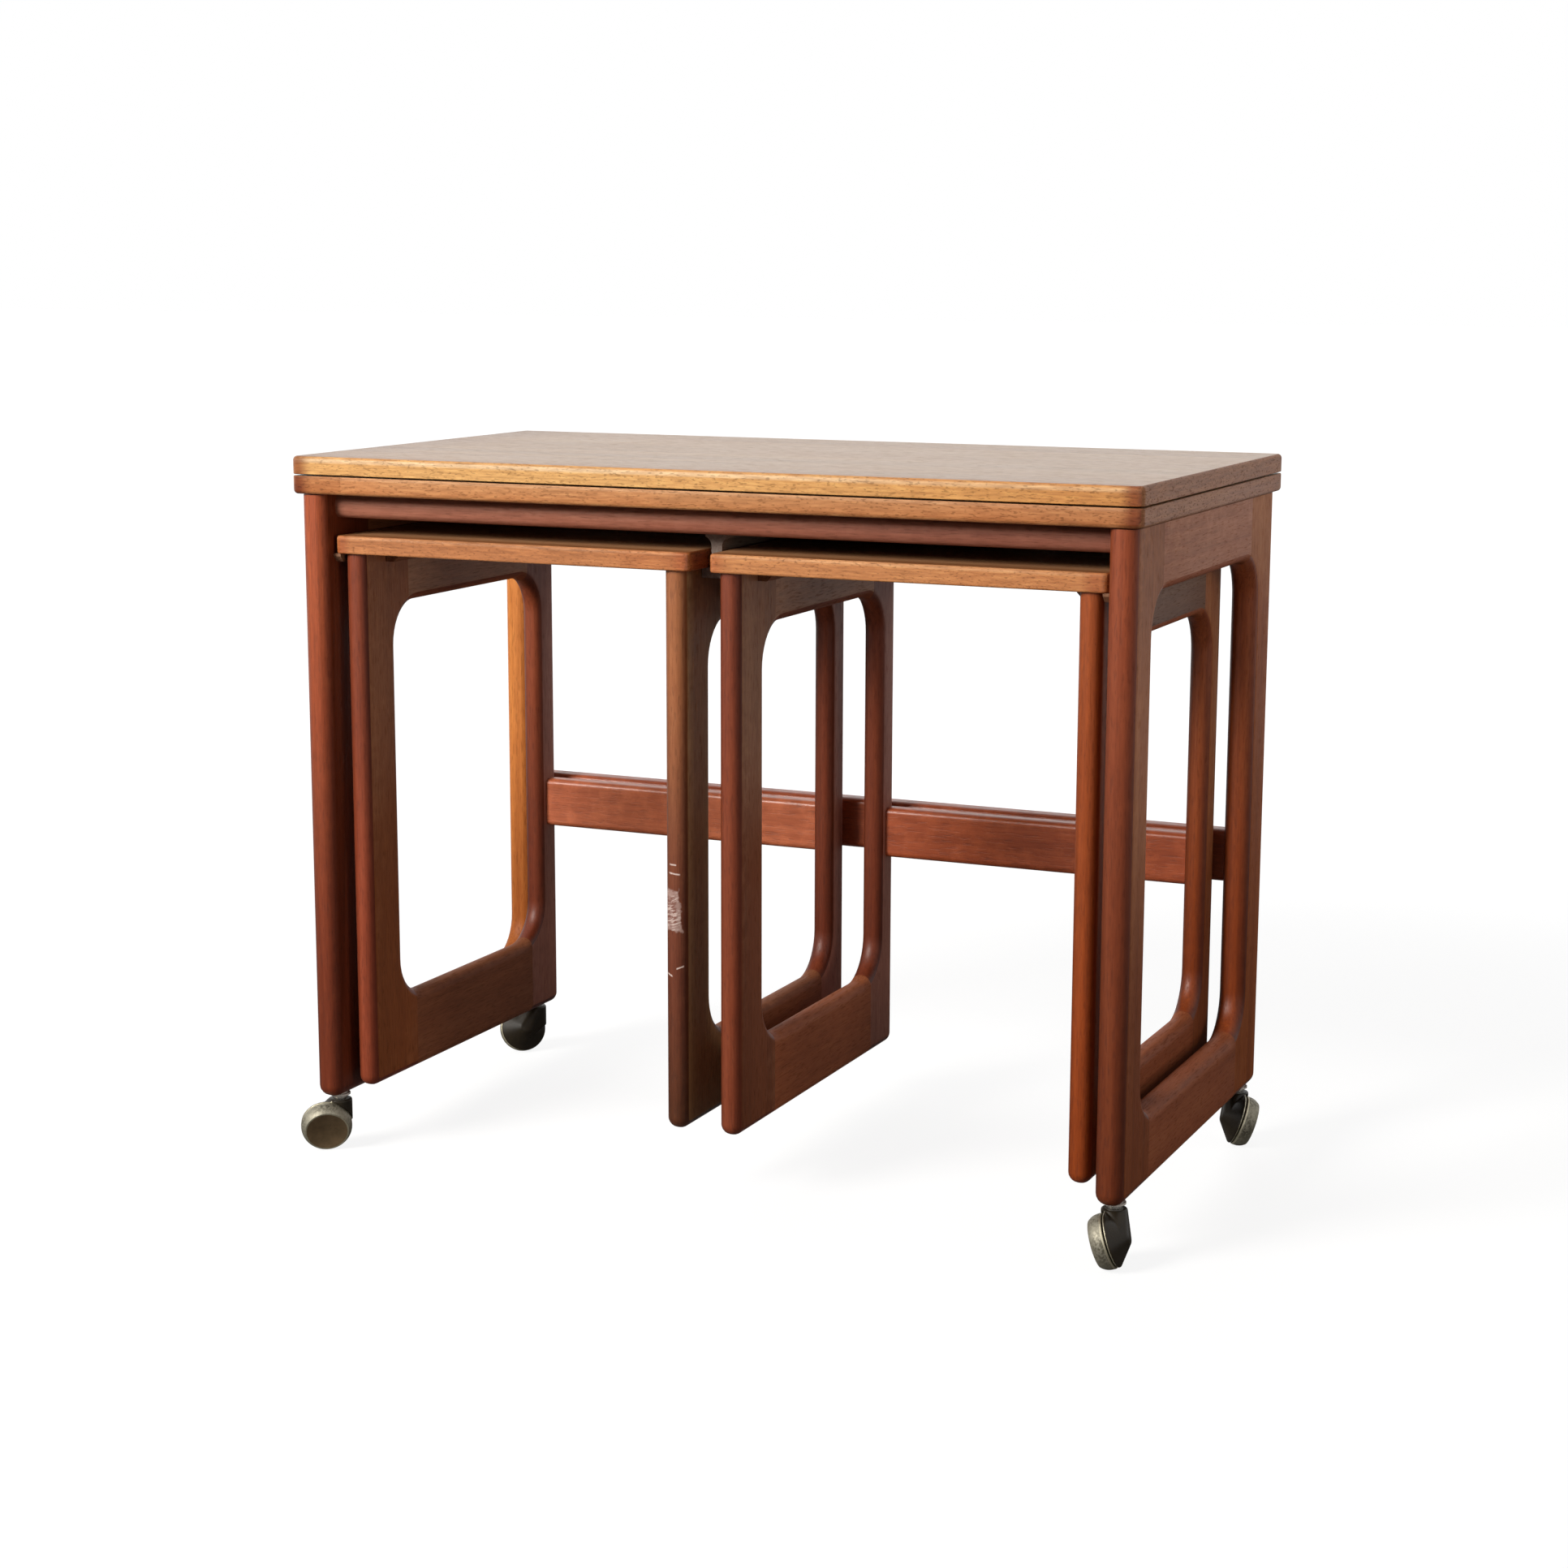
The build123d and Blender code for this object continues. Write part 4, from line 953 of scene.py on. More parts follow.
    @staticmethod
    def smooth(piece: bpy.types.Object, angle: float = 40.0) -> None:
        """Smooth shading that keeps flats flat, with rounded points marked for wear, and with how far each point
        turns to the side stored for the painted shade.

        Args:
            piece: the piece to shade.
            angle: the angle in degrees past which an edge stays sharp.
        """
        Bench.take(piece)
        bpy.ops.object.shade_smooth_by_angle(angle=math.radians(angle))
        Bench.use(piece, "WEIGHTED_NORMAL", weight=60, keep_sharp=True)
        normals = np.empty(len(piece.data.vertices) * 3, np.float32)
        piece.data.vertex_normals.foreach_get("vector", normals)
        parts = np.abs(normals.reshape(-1, 3))
        Bench.mark(piece, "arris", np.clip((1.0 - parts.max(axis=1)) / 0.25, 0.0, 1.0))
        Bench.mark(piece, "side", parts[:, 0])

    @staticmethod
    def mark(piece: bpy.types.Object, name: str, values: np.ndarray) -> None:
        """Stores a value on each point of a piece."""
        stored = piece.data.attributes.get(name) or piece.data.attributes.new(name, "FLOAT", "POINT")
        stored.data.foreach_set("value", values.astype(np.float32))

    @staticmethod
    def tidy_normals(piece: bpy.types.Object) -> None:
        """Merges doubled points and turns all faces outwards.

        Args:
            piece: the piece to tidy.
        """
        Bench.edit(piece, everything=True)
        bpy.ops.mesh.remove_doubles(threshold=CLOSE)
        bpy.ops.mesh.normals_make_consistent(inside=False)
        Bench.clear()


def cut(piece: bpy.types.Object, point: Sequence[float], normal: Sequence[float], ease: float = 0.0) -> None:
    """Cuts away the part of a closed piece that a plane's normal points to, and closes the cut.

    Args:
        piece: the piece to cut.
        point: a point of the plane.
        normal: the plane's normal.
        ease: the width of the small bevel along the cut, nought for none.
    """
    Bench.edit(piece, everything=True)
    plane = {"plane_co": point, "plane_no": normal, "threshold": 1e-7}
    bpy.ops.mesh.bisect(use_fill=True, clear_outer=True, clear_inner=False, **plane)
    if ease > 0.0:
        away, origin = Vector(normal), Vector(point)
        bpy.ops.mesh.select_mode(type="FACE")
        Bench.pick(
            piece, lambda f: (f.center - origin).dot(away) > -CLOSE and f.normal.dot(away) > 0.99, "polygons"
        )
        bpy.ops.mesh.inset(thickness=ease, depth=0.0, use_even_offset=True)
        bpy.ops.transform.translate(value=tuple(away * ease))
        bpy.ops.object.mode_set(mode="OBJECT")
        piece.data.update()
    Bench.clear()


def dress(piece: bpy.types.Object, finish: bpy.types.Material, body: str, node: str) -> None:
    """Gives a finished piece its material and body, and hides the CAD node that it replaces.

    Args:
        piece: the finished piece.
        finish: its first material.
        body: the body that it rides on.
        node: the CAD node that it replaces.
    """
    piece.data.materials.clear()
    piece.data.materials.append(finish)
    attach(piece, body)
    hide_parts(node)
    LOG.info("piece %s rides on %s", piece.name, body)


@dataclass
class Board:
    """A flat board drawn as an outline in a plane, with rounded arrises on both faces.

    The plane's directions are u and v. The corners at the low and at the high end of v have a radius
    each, and the arris underneath can differ from the one on top.
    """

    name: str
    span_u: Span
    span_v: Span
    thick: float
    arris: float
    turn: Triple
    low_corner: float
    high_corner: float
    window_u: Optional[Span] = None
    window_v: Optional[Span] = None
    window_r: float = 0.0
    under: float = 0.0
    arris_steps: int = 6
    corner_steps: int = 10

    def _outline(self, span_u: Span, span_v: Span, low: float, high: float) -> bpy.types.Object:
        """Draws a rectangle with rounded corners in the XY plane.

        Args:
            span_u: its ends along the first direction.
            span_v: its ends along the second.
            low: the radius of the corners at the low end of the second direction.
            high: the radius at its high end.

        Returns:
            The outline, as a single face.
        """
        Bench.clear()
        bpy.ops.mesh.primitive_plane_add(size=1.0)
        piece = bpy.context.object
        piece.scale = (span_u[1] - span_u[0], span_v[1] - span_v[0], 1.0)
        piece.location = (sum(span_u) / 2, sum(span_v) / 2, 0.0)
        Bench.apply_place(piece)
        for radius, edge in ((low, span_v[0]), (high, span_v[1])):
            if radius > 0.0:
                Bench.edit(piece)
                Bench.pick(piece, lambda v: abs(v.co.y - edge) < CLOSE)
                Bench.bevel(radius, self.corner_steps, "VERTICES")
        Bench.clear()
        return piece

    def _face(self) -> bpy.types.Object:
        """Draws the board's face: its outline, less its window.

        Returns:
            The flat face, turned upwards.
        """
        piece = self._outline(self.span_u, self.span_v, self.low_corner, self.high_corner)
        if self.window_u and self.window_v:
            Bench.join(piece, self._outline(self.window_u, self.window_v, self.window_r, self.window_r))
            Bench.edit(piece, "EDGE", everything=True)
            bpy.ops.mesh.delete(type="ONLY_FACE")
            bpy.ops.mesh.select_all(action="SELECT")
            bpy.ops.mesh.fill(use_beauty=True)
        Bench.edit(piece, "FACE", everything=True)
        bpy.ops.mesh.normals_make_consistent(inside=False)
        Bench.clear()
        if piece.data.polygons[0].normal.z < 0.0:
            piece.data.flip_normals()
        return piece

    def _half(self, arris: float) -> bpy.types.Object:
        """Models half of the board's thickness: a wall and a rounded arris raised from its face.

        Args:
            arris: the radius of the arris.

        Returns:
            The half, open at the middle plane.
        """
        piece = self._face()
        Bench.edit(piece, "FACE", everything=True)
        wall = self.thick / 2 - arris
        bpy.ops.mesh.extrude_region_move(TRANSFORM_OT_translate={"value": (0.0, 0.0, wall)})
        before = (0.0, 0.0)
        for step in range(1, self.arris_steps + 1):
            angle = step / self.arris_steps * math.pi / 2
            place = (arris * (1 - math.cos(angle)), arris * math.sin(angle))
            bpy.ops.mesh.inset(
                thickness=max(place[0] - before[0], CLOSE), depth=place[1] - before[1],
                use_boundary=True, use_even_offset=True,
            )
            before = place
        Bench.edit(piece, "FACE")
        Bench.pick(piece, lambda f: abs(f.center.z) < CLOSE and abs(f.normal.z) > 0.9, "polygons")
        bpy.ops.mesh.delete(type="FACE")
        Bench.clear()
        return piece

    def build(self) -> bpy.types.Object:
        """Models the whole board: both halves, joined at the middle and turned into place.

        Returns:
            The board.
        """
        piece = self._half(self.arris)
        lower = self._half(self.under or self.arris)
        lower.scale.z = -1.0
        Bench.apply_place(lower)
        Bench.join(piece, lower)
        piece.rotation_euler = self.turn
        Bench.apply_place(piece)
        Bench.tidy_normals(piece)
        piece.name = piece.data.name = self.name
        return piece


# Frames, tops and bars


@dataclass
class SideFrame:
    """A side frame of stiles and rails, placed by the boxes of its CAD pieces."""

    prefix: str
    thick: float
    front_stile: float
    rear_stile: float
    bottom_rail: float
    top_rail: float
    window_r: float
    foot_r: float
    arris: float
    joint_inset: float = 20.0 * MM
    ease: float = 0.12 * MM

    def pattern(self) -> dict[str, bpy.types.Object]:
        """Models the four pieces about x = 0.

        Returns:
            The pieces by name: front_stile, rear_stile, top_rail, bottom_rail.
        """
        front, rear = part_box(f"{self.prefix}_front_stile"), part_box(f"{self.prefix}_rear_stile")
        y_low, y_high = front[0].y, rear[1].y
        z_low, z_high = front[0].z, front[1].z
        window_y = (y_low + self.front_stile, y_high - self.rear_stile)
        window_z = (z_low + self.bottom_rail, z_high - self.top_rail)
        blank = Board(
            "frame_blank", (y_low, y_high), (z_low, z_high + 3 * self.arris), self.thick, self.arris,
            (math.pi / 2, 0.0, math.pi / 2), self.foot_r, 0.0, window_y, window_z, self.window_r,
        ).build()
        cut(blank, (0, 0, z_high), (0, 0, 1))
        joint_front = (0, window_y[0] + self.joint_inset, 0)
        joint_rear = (0, window_y[1] - self.joint_inset, 0)
        middle = (0, 0, sum(window_z) / 2)
        names = ("front_stile", "rear_stile", "top_rail", "bottom_rail")
        pieces = {name: Bench.copy(blank, name) for name in names}
        cut(pieces["front_stile"], joint_front, (0, 1, 0), self.ease)
        cut(pieces["rear_stile"], joint_rear, (0, -1, 0), self.ease)
        for name, sign in (("top_rail", -1), ("bottom_rail", 1)):
            cut(pieces[name], middle, (0, 0, sign))
            cut(pieces[name], joint_front, (0, -1, 0), self.ease)
            cut(pieces[name], joint_rear, (0, 1, 0), self.ease)
        for piece in pieces.values():
            Bench.tidy_normals(piece)
            Bench.smooth(piece)
        Bench.discard(blank)
        return pieces


@dataclass(frozen=True)
class Timber:
    """The finishes of one frame's four pieces: on their edges, and on the broad faces turned to +X."""

    prefix: str
    body: str
    edges: tuple[str, str, str, str]
    faces: tuple[str, str, str, str]


@dataclass
class FrameSet:
    """All frames of one size, copied from one pattern."""

    size: SideFrame
    frames: Sequence[Timber]
    flat: float = 0.97

    def build(self, finishes: Finishes) -> None:
        """Copies the pattern to each frame's place and dresses it.

        Args:
            finishes: where the finishes come from.
        """
        pattern = self.size.pattern()
        for timber in self.frames:
            low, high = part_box(f"{timber.prefix}_front_stile")
            x = (low.x + high.x) / 2
            for (name, source), edge, face in zip(pattern.items(), timber.edges, timber.faces):
                node = f"{timber.prefix}_{name}"
                piece = Bench.copy(source, f"{node}_dressed", (x, 0.0, 0.0))
                dress(piece, finishes[edge], timber.body, node)
                plain = "plain_rail" if name.endswith("rail") else "plain_flank"
                for finish in (face, plain):
                    piece.data.materials.append(finishes[finish])
                for polygon in piece.data.polygons:
                    across = polygon.normal.x
                    polygon.material_index = 0 if abs(across) < self.flat else 1 if across > 0.0 else 2
        Bench.discard(*pattern.values())


@dataclass
class TopBoard:
    """A leaf or small top: veneered faces between solid lippings."""

    node: str
    body: str
    corner: float
    arris: float
    under: float
    finish_names: tuple[str, str, str]
    plates: str = ""
    disc: str = ""
    plate_length: float = 60.0 * MM
    plate_depth: float = 1.5 * MM
    fit: float = 0.1 * MM
    disc_room: float = 2.0 * MM
    flat: float = 0.985

    def _let_in_plates(self, piece: bpy.types.Object) -> None:
        """Lets both hinge plates into the board's rear edge.

        Args:
            piece: the board.
        """
        low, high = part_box(self.plates)
        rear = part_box(self.node)[1].y
        size = (self.plate_length + 2 * self.fit, 2 * self.plate_depth, high.z - low.z + 2 * self.fit)
        for x in (low.x + self.plate_length / 2, high.x - self.plate_length / 2):
            Bench.cut_out(piece, Bench.cube(size, (x, rear, (low.z + high.z) / 2)))

    def _let_in_disc(self, piece: bpy.types.Object) -> None:
        """Lets the pivot's disc into the board's underside.

        Args:
            piece: the board.
        """
        low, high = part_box(self.disc)
        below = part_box(self.node)[0].z - self.disc_room
        radius = (high.x - low.x) / 2 + self.fit
        tool = Turning("disc_room", [(radius, below), (radius, high.z + self.fit)], sides=64).build()
        Bench.shift(tool, (low.x + high.x) / 2, (low.y + high.y) / 2, 0.0)
        Bench.cut_out(piece, tool)

    def build(self, finishes: Finishes) -> None:
        """Models the board and gives its faces and edges their finishes.

        Args:
            finishes: where the finishes come from.
        """
        low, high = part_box(self.node)
        piece = Board(
            f"{self.node}_dressed", (low.x, high.x), (low.y, high.y), high.z - low.z, self.arris,
            (0.0, 0.0, 0.0), self.corner, self.corner, under=self.under,
        ).build()
        Bench.shift(piece, 0.0, 0.0, (low.z + high.z) / 2)
        if self.plates:
            self._let_in_plates(piece)
        if self.disc:
            self._let_in_disc(piece)
        Bench.smooth(piece)
        face, *lippings = self.finish_names
        dress(piece, finishes[face], self.body, self.node)
        for lipping in lippings:
            piece.data.materials.append(finishes[lipping])
        for polygon in piece.data.polygons:
            x, y, z = (abs(part) for part in polygon.normal)
            if z < self.flat:
                polygon.material_index = 1 if y >= x else 2


@dataclass
class Bar:
    """A straight bar along X with rounded long edges."""

    node: str
    body: str
    front_r: float
    back_r: float
    finish: str
    tenon: float = 12.0 * MM
    edge_steps: int = 7

    def build(self, finishes: Finishes) -> None:
        """Models the bar from a cube by bevelling its long edges.

        Args:
            finishes: where the finishes come from.
        """
        low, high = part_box(self.node)
        size = (high.x - low.x - 2 * self.tenon, high.y - low.y, high.z - low.z)
        piece = Bench.cube(size, (low + high) / 2)
        piece.name = piece.data.name = f"{self.node}_dressed"
        for radius, side in ((self.front_r, low.y), (self.back_r, high.y)):
            Bench.edit(piece, "EDGE")
            points = piece.data.vertices

            def is_long_edge(edge: bpy.types.MeshEdge) -> bool:
                """Says whether an edge runs along X at a corner of the wanted side.

                Args:
                    edge: an edge of the bar.

                Returns:
                    True for the edges to round.
                """
                a, b = (points[i].co for i in edge.vertices)
                at_corner = abs(a.y - side) < CLOSE and min(abs(a.z - low.z), abs(a.z - high.z)) < CLOSE
                return at_corner and abs(a.x - b.x) > size[0] / 2

            Bench.pick(piece, is_long_edge, "edges")
            Bench.bevel(radius, self.edge_steps, "EDGES")
        Bench.clear()
        Bench.smooth(piece)
        dress(piece, finishes[self.finish], self.body, self.node)


# Casters


@dataclass
class Turning:
    """A turned shape: a circle drawn out along its axis, ring by ring."""

    name: str
    profile: Sequence[Span]
    sides: int = 72

    def build(self) -> bpy.types.Object:
        """Models the shape about Z from its (radius, height) profile, closed at both ends.

        Returns:
            The shape.
        """
        Bench.clear()
        before = self.profile[0]
        bpy.ops.mesh.primitive_circle_add(
            vertices=self.sides, radius=before[0], location=(0, 0, before[1]), fill_type="NGON"
        )
        piece = bpy.context.object
        piece.name = piece.data.name = self.name
        Bench.apply_place(piece)
        Bench.edit(piece, "EDGE", everything=True)
        for radius, height in self.profile[1:]:
            bpy.ops.mesh.extrude_edges_move(TRANSFORM_OT_translate={"value": (0.0, 0.0, height - before[1])})
            ratio = radius / before[0]
            bpy.ops.transform.resize(value=(ratio, ratio, 1.0), center_override=(0.0, 0.0, height))
            before = (radius, height)
        bpy.ops.mesh.edge_face_add()
        Bench.clear()
        Bench.tidy_normals(piece)
        return piece


def arc(centre: Span, radius: float, start: float, end: float, steps: int) -> list[Span]:
    """Points on an arc, from one angle in degrees to another."""
    angles = [math.radians(start + (end - start) * i / steps) for i in range(steps + 1)]
    return [(centre[0] + radius * math.cos(a), centre[1] + radius * math.sin(a)) for a in angles]


@dataclass
class Caster:
    """A dome-wheel caster: dark hood with neck and stem, leaning brass wheel with a dished face.

    A name that ends in _r is a radius, and one that ends in _s is a place along the axle.
    """

    name: str
    wheel_r: float = 21.8 * MM
    wheel_back: float = 0.4 * MM
    rim: float = 3.2 * MM
    bead: float = 0.5 * MM
    web_s: float = 6.0 * MM
    hub_r: float = 7.0 * MM
    tread_end: float = 3.3 * MM
    face_s: float = 12.0 * MM
    face_r: float = 18.6 * MM
    lip: float = 1.2 * MM
    lip_outer: float = 0.35 * MM
    lip_inner: float = 0.25 * MM
    lip_fall: float = 0.02 * MM
    edge: float = 1.5 * MM
    dish_s: float = 8.8 * MM
    dish_eye: float = 0.06
    dish_edge: float = 0.1 * MM
    hood_r: float = 21.5 * MM
    hood_edge: float = 0.6 * MM
    hood_lip: float = 1.8 * MM
    hood_bead: float = 0.4 * MM
    hood_depth: float = 15.8 * MM
    # The band round the hood's edge that takes the painted glint.
    bright_edge: float = 1.0 * MM
    bright_reach: float = 0.7 * MM
    apex_r: float = 5.0 * MM
    apex_round: float = 1.6 * MM
    apex_drop: float = 1.2 * MM
    apex_bead: float = 0.4 * MM
    apex_flat: float = 2.0 * MM
    tip_r: float = 0.4 * MM
    bridge_reach: float = 4.0 * MM
    neck_r: float = 10.3 * MM
    neck_spread: float = 25.4 * MM
    neck_top: float = 44.73 * MM
    neck_round: float = 1.6 * MM
    wheel_room: float = 0.8 * MM
    room_depth: float = 40.0 * MM
    collar_r: float = 6.4 * MM
    collar_top: float = 47.93 * MM
    collar_foot: float = 1.0 * MM
    collar_ease: float = 0.4 * MM
    collar_bead: float = 0.6 * MM
    stem_r: float = 5.0 * MM
    stem_top: float = 81.73 * MM
    stem_bead: float = 1.0 * MM
    cone_sides: int = 96
    ring_sides: int = 64
    stem_sides: int = 48
    voxel: float = 0.42 * MM
    smoothing: int = 12

    def joint(self, kind: str) -> dict[str, Any]:
        """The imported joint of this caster, swivel or roll."""
        return next(j for j in frame["joints"] if j["name"] == f"{self.name}_{kind}")

    def axle(self) -> tuple[Vector, Vector]:
        """The wheel's middle, and the direction of its axle."""
        roll = self.joint("roll")
        return Vector(roll["pos_m"]), Vector(roll["axis"]).normalized()

    def on_axle(self, name: str, profile: Sequence[Span], sides: int) -> bpy.types.Object:
        """Turns a shape and sets it on the wheel's axle.

        Args:
            name: the shape's name.
            profile: its (radius, height) profile.
            sides: the number of its sides.

        Returns:
            The shape in its place.
        """
        piece = Turning(name, profile, sides).build()
        self.set_on_axle(piece)
        return piece

    def set_on_axle(self, piece: bpy.types.Object) -> None:
        """Sets a shape turned about Z on the wheel's axle."""
        middle, axis = self.axle()
        piece.data.transform(Matrix.Translation(middle) @ axis.to_track_quat("Z", "Y").to_matrix().to_4x4())

    def under_stile(self, name: str, profile: Sequence[Span], sides: int) -> bpy.types.Object:
        """Turns a shape and sets it on the swivel's axis.

        Args:
            name: the shape's name.
            profile: its (radius, height) profile.
            sides: the number of its sides.

        Returns:
            The shape in its place.
        """
        seat = self.joint("swivel")["pos_m"]
        piece = Turning(name, profile, sides).build()
        Bench.shift(piece, seat[0], seat[1], 0.0)
        return piece

    def wheel_profile(self, inner: float) -> list[Span]:
        """Draws half a section of the wheel, from its hub round the back and the tread to the dished face.

        Args:
            inner: the radius of the dish.

        Returns:
            The profile.
        """
        rise, drop = self.face_s - self.tread_end, self.wheel_r - self.face_r
        curve = (rise**2 + drop**2) / (2 * drop)
        end = math.degrees(math.asin(rise / curve))
        deep = self.face_s - self.dish_s
        dish_r = (inner**2 + deep**2) / (2 * deep)
        half = math.degrees(math.asin(inner / dish_r))
        bore, back = self.wheel_r - self.rim, self.wheel_back
        profile = [(self.hub_r, self.web_s), (bore, self.web_s), (bore, back + self.bead)]
        profile += [(bore + self.bead, back), (self.wheel_r - self.bead, back)]
        profile += [(self.wheel_r, back + self.bead), (self.wheel_r, back + self.edge)]
        profile += arc((self.wheel_r - curve, self.tread_end), curve, 0.0, end, steps=12)
        profile += [(self.face_r - self.lip_outer, self.face_s)]
        profile += [(inner + self.lip_inner, self.face_s - self.lip_fall)]
        dish_end = -90.0 + half * self.dish_eye
        return profile + arc((0.0, self.dish_s + dish_r), dish_r, -90.0 + half, dish_end, steps=8)

    def wheel(self, finishes: Finishes) -> None:
        """Models the dome wheel, with rim band, dull dished face, and a bright lip and back edge that carry a
        painted glint.

        Args:
            finishes: where the finishes come from.
        """
        inner = self.face_r - self.lip
        node = f"{self.name}_caster_wheel"
        piece = Turning(f"{node}_dressed", self.wheel_profile(inner)).build()
        for name in ("wheel_brass", "dish_brass", "lip_brass"):
            piece.data.materials.append(finishes[name])
        # Index 1 is the dish; index 2, on the lip and the back edge, is the painted glint.
        for face in piece.data.polygons:
            radius, height = math.hypot(face.center.x, face.center.y), face.center.z
            if radius < inner + self.dish_edge and height > self.web_s:
                face.material_index = 1
            elif radius < self.face_r and height > self.web_s or height < self.wheel_back + self.edge:
                face.material_index = 2
        Bench.smooth(piece, angle=50.0)
        self.set_on_axle(piece)
        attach(piece, f"{self.name}_wheel")
        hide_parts(node)
        LOG.info("piece %s rides on %s_wheel", piece.name, self.name)

    def casting(self) -> bpy.types.Object:
        """Models the hood's casting: a cone on the axle drawn smoothly into a neck round the stem.

        Returns:
            The casting, in its place.
        """
        edge, bead, apex = -self.hood_edge, self.hood_bead, -self.hood_depth
        lip = edge - self.hood_lip
        shoulder_r, shoulder = self.apex_r + self.apex_round, apex + self.apex_drop
        crown = [(shoulder_r, shoulder), (self.apex_r, apex + self.apex_bead)]
        crown += [(self.apex_r - self.apex_flat, apex), (self.tip_r, apex)]
        brim = [(self.hood_r - bead, edge), (self.hood_r, edge - bead), (self.hood_r, lip)]
        dome = self.on_axle("dome", brim + crown, self.cone_sides)
        slope = (self.hood_r - shoulder_r) / (lip - shoulder)
        foot = (shoulder_r + slope * self.bridge_reach, shoulder + self.bridge_reach)
        bridge = self.on_axle("bridge", [foot] + crown, self.cone_sides)
        top = self.neck_top - self.neck_round
        neck = [(self.neck_r, self.neck_spread), (self.neck_r, top)]
        neck += arc((self.neck_r - self.neck_round, top), self.neck_round, 15.0, 90.0, steps=5)
        Bench.join(bridge, self.under_stile("neck", neck, self.ring_sides))
        Bench.edit(bridge, everything=True)
        bpy.ops.mesh.convex_hull()
        Bench.clear()
        reach = self.wheel_r + self.wheel_room
        room = self.on_axle("room", [(reach, edge), (reach, self.room_depth)], self.ring_sides)
        Bench.cut_out(bridge, room)
        Bench.join(dome, bridge)
        Bench.use(dome, "REMESH", mode="VOXEL", voxel_size=self.voxel, adaptivity=0.0)
        Bench.use(dome, "SMOOTH", factor=0.5, iterations=self.smoothing)
        return dome

    def hood(self, finishes: Finishes) -> None:
        """Models the hood and gives it a bright edge round the wheel, a painted glint.

        Args:
            finishes: where the finishes come from.
        """
        node = f"{self.name}_caster_hood"
        piece = self.casting()
        piece.name = piece.data.name = f"{node}_dressed"
        Bench.take(piece)
        bpy.ops.object.shade_smooth()
        Bench.mark(piece, "arris", np.zeros(len(piece.data.vertices)))
        dress(piece, finishes["hood_bronze"], f"{self.name}_hood", node)
        piece.data.materials.append(finishes["lip_brass"])
        middle, axis = self.axle()
        for face in piece.data.polygons:
            out = face.center - middle
            along = out.dot(axis)
            aside = abs((out - axis * along).length - self.hood_r)
            if along > -self.hood_edge - self.bright_edge and aside < self.bright_reach:
                face.material_index = 1

    def collar(self, finishes: Finishes) -> None:
        """Models the bright collar and stem between hood and frame.

        Args:
            finishes: where the finishes come from.
        """
        low, top, radius = self.neck_top, self.collar_top, self.collar_r
        profile = [(radius - self.collar_foot, low - self.collar_foot)]
        profile += [(radius - self.collar_ease, low - self.collar_ease), (radius, low + self.collar_ease)]
        profile += [(radius, top - self.collar_bead), (radius - self.collar_bead, top)]
        profile += [(self.stem_r, top), (self.stem_r, self.stem_top - self.stem_bead)]
        profile += [(self.stem_r - self.stem_bead, self.stem_top)]
        piece = self.under_stile(f"{self.name}_caster_stem", profile, self.stem_sides)
        Bench.smooth(piece, angle=35.0)
        piece.data.materials.append(finishes["bright_steel"])
        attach(piece, f"{self.name}_hood")
        LOG.info("piece %s rides on %s_hood", piece.name, self.name)

    def build(self, finishes: Finishes) -> None:
        """Models the whole caster."""
        for step in (self.wheel, self.hood, self.collar):
            step(finishes)


# Carried-over hardware


class Hardware:
    """The plain CAD pieces that stay, with better finishes."""

    FINISH_BY_SLOT = {
        "inner_wood": "plain_wood",
        "steel": "screw_steel",
        "bright_steel": "bright_steel",
        "brass": "hinge_brass",
        "nylon": "pad_nylon",
    }

    FINISH_BY_NODE = {
        "pivot_board": "plain_board",
        "centre_runner": "grey_wood",
        "caster_sockets": "socket_plate",
        "runner_screws": "dark_screw",
        "left_table_fixing_blocks": "block_wood",
        "right_table_fixing_blocks": "block_wood",
    }

    def build(self, finishes: Finishes) -> None:
        """Gives each CAD node that still shows its finish.

        Args:
            finishes: where the finishes come from.
        """
        slots = {part["node"]: part["material_slot"] for part in frame["record"]["subparts"]}
        for name, node in frame["nodes"].items():
            if not node.hide_render:
                finish = self.FINISH_BY_NODE.get(name) or self.FINISH_BY_SLOT[slots[name]]
                node.data.materials.clear()
                node.data.materials.append(finishes[finish])
                LOG.info("node %s keeps its solid, finish %s", name, finish)


# Studio


@dataclass(frozen=True)
class Lamp:
    """A round soft lamp.

    It has a place, an aim, a width, a power, a spread and a tint. A mirrored lamp shows in gloss, a
    scattered one lights plain colour, and the spared pieces don't get its light.
    """

    name: str
    place: Triple
    aim: Triple
    width: float
    power: float
    spread: float = 180.0
    tint: Colour = (1.0, 1.0, 1.0)
    mirrored: bool = False
    scattered: bool = True
    spared: tuple[str, ...] = ()

    def _spare(self, lamp: bpy.types.Object) -> None:
        """Keeps the lamp's light off the spared pieces.

        Args:
            lamp: the lamp's object.
        """
        pieces = bpy.data.collections.new(f"{self.name}_spared")
        for name in self.spared:
            pieces.objects.link(bpy.data.objects[name])
        for item in pieces.collection_objects:
            item.light_linking.link_state = "EXCLUDE"
        lamp.light_linking.receiver_collection = pieces

    def hang(self) -> None:
        """Adds the lamp to the scene."""
        data = bpy.data.lights.new(self.name, "AREA")
        data.shape = "DISK"
        data.size = self.width
        data.energy = self.power
        data.spread = math.radians(self.spread)
        data.color = self.tint
        lamp = bpy.data.objects.new(self.name, data)
        lamp.location = self.place
        lamp.rotation_euler = (Vector(self.aim) - Vector(self.place)).to_track_quat("-Z", "Y").to_euler()
        lamp.visible_glossy = self.mirrored
        lamp.visible_diffuse = self.scattered
        if self.spared:
            self._spare(lamp)
        bpy.context.scene.collection.objects.link(lamp)


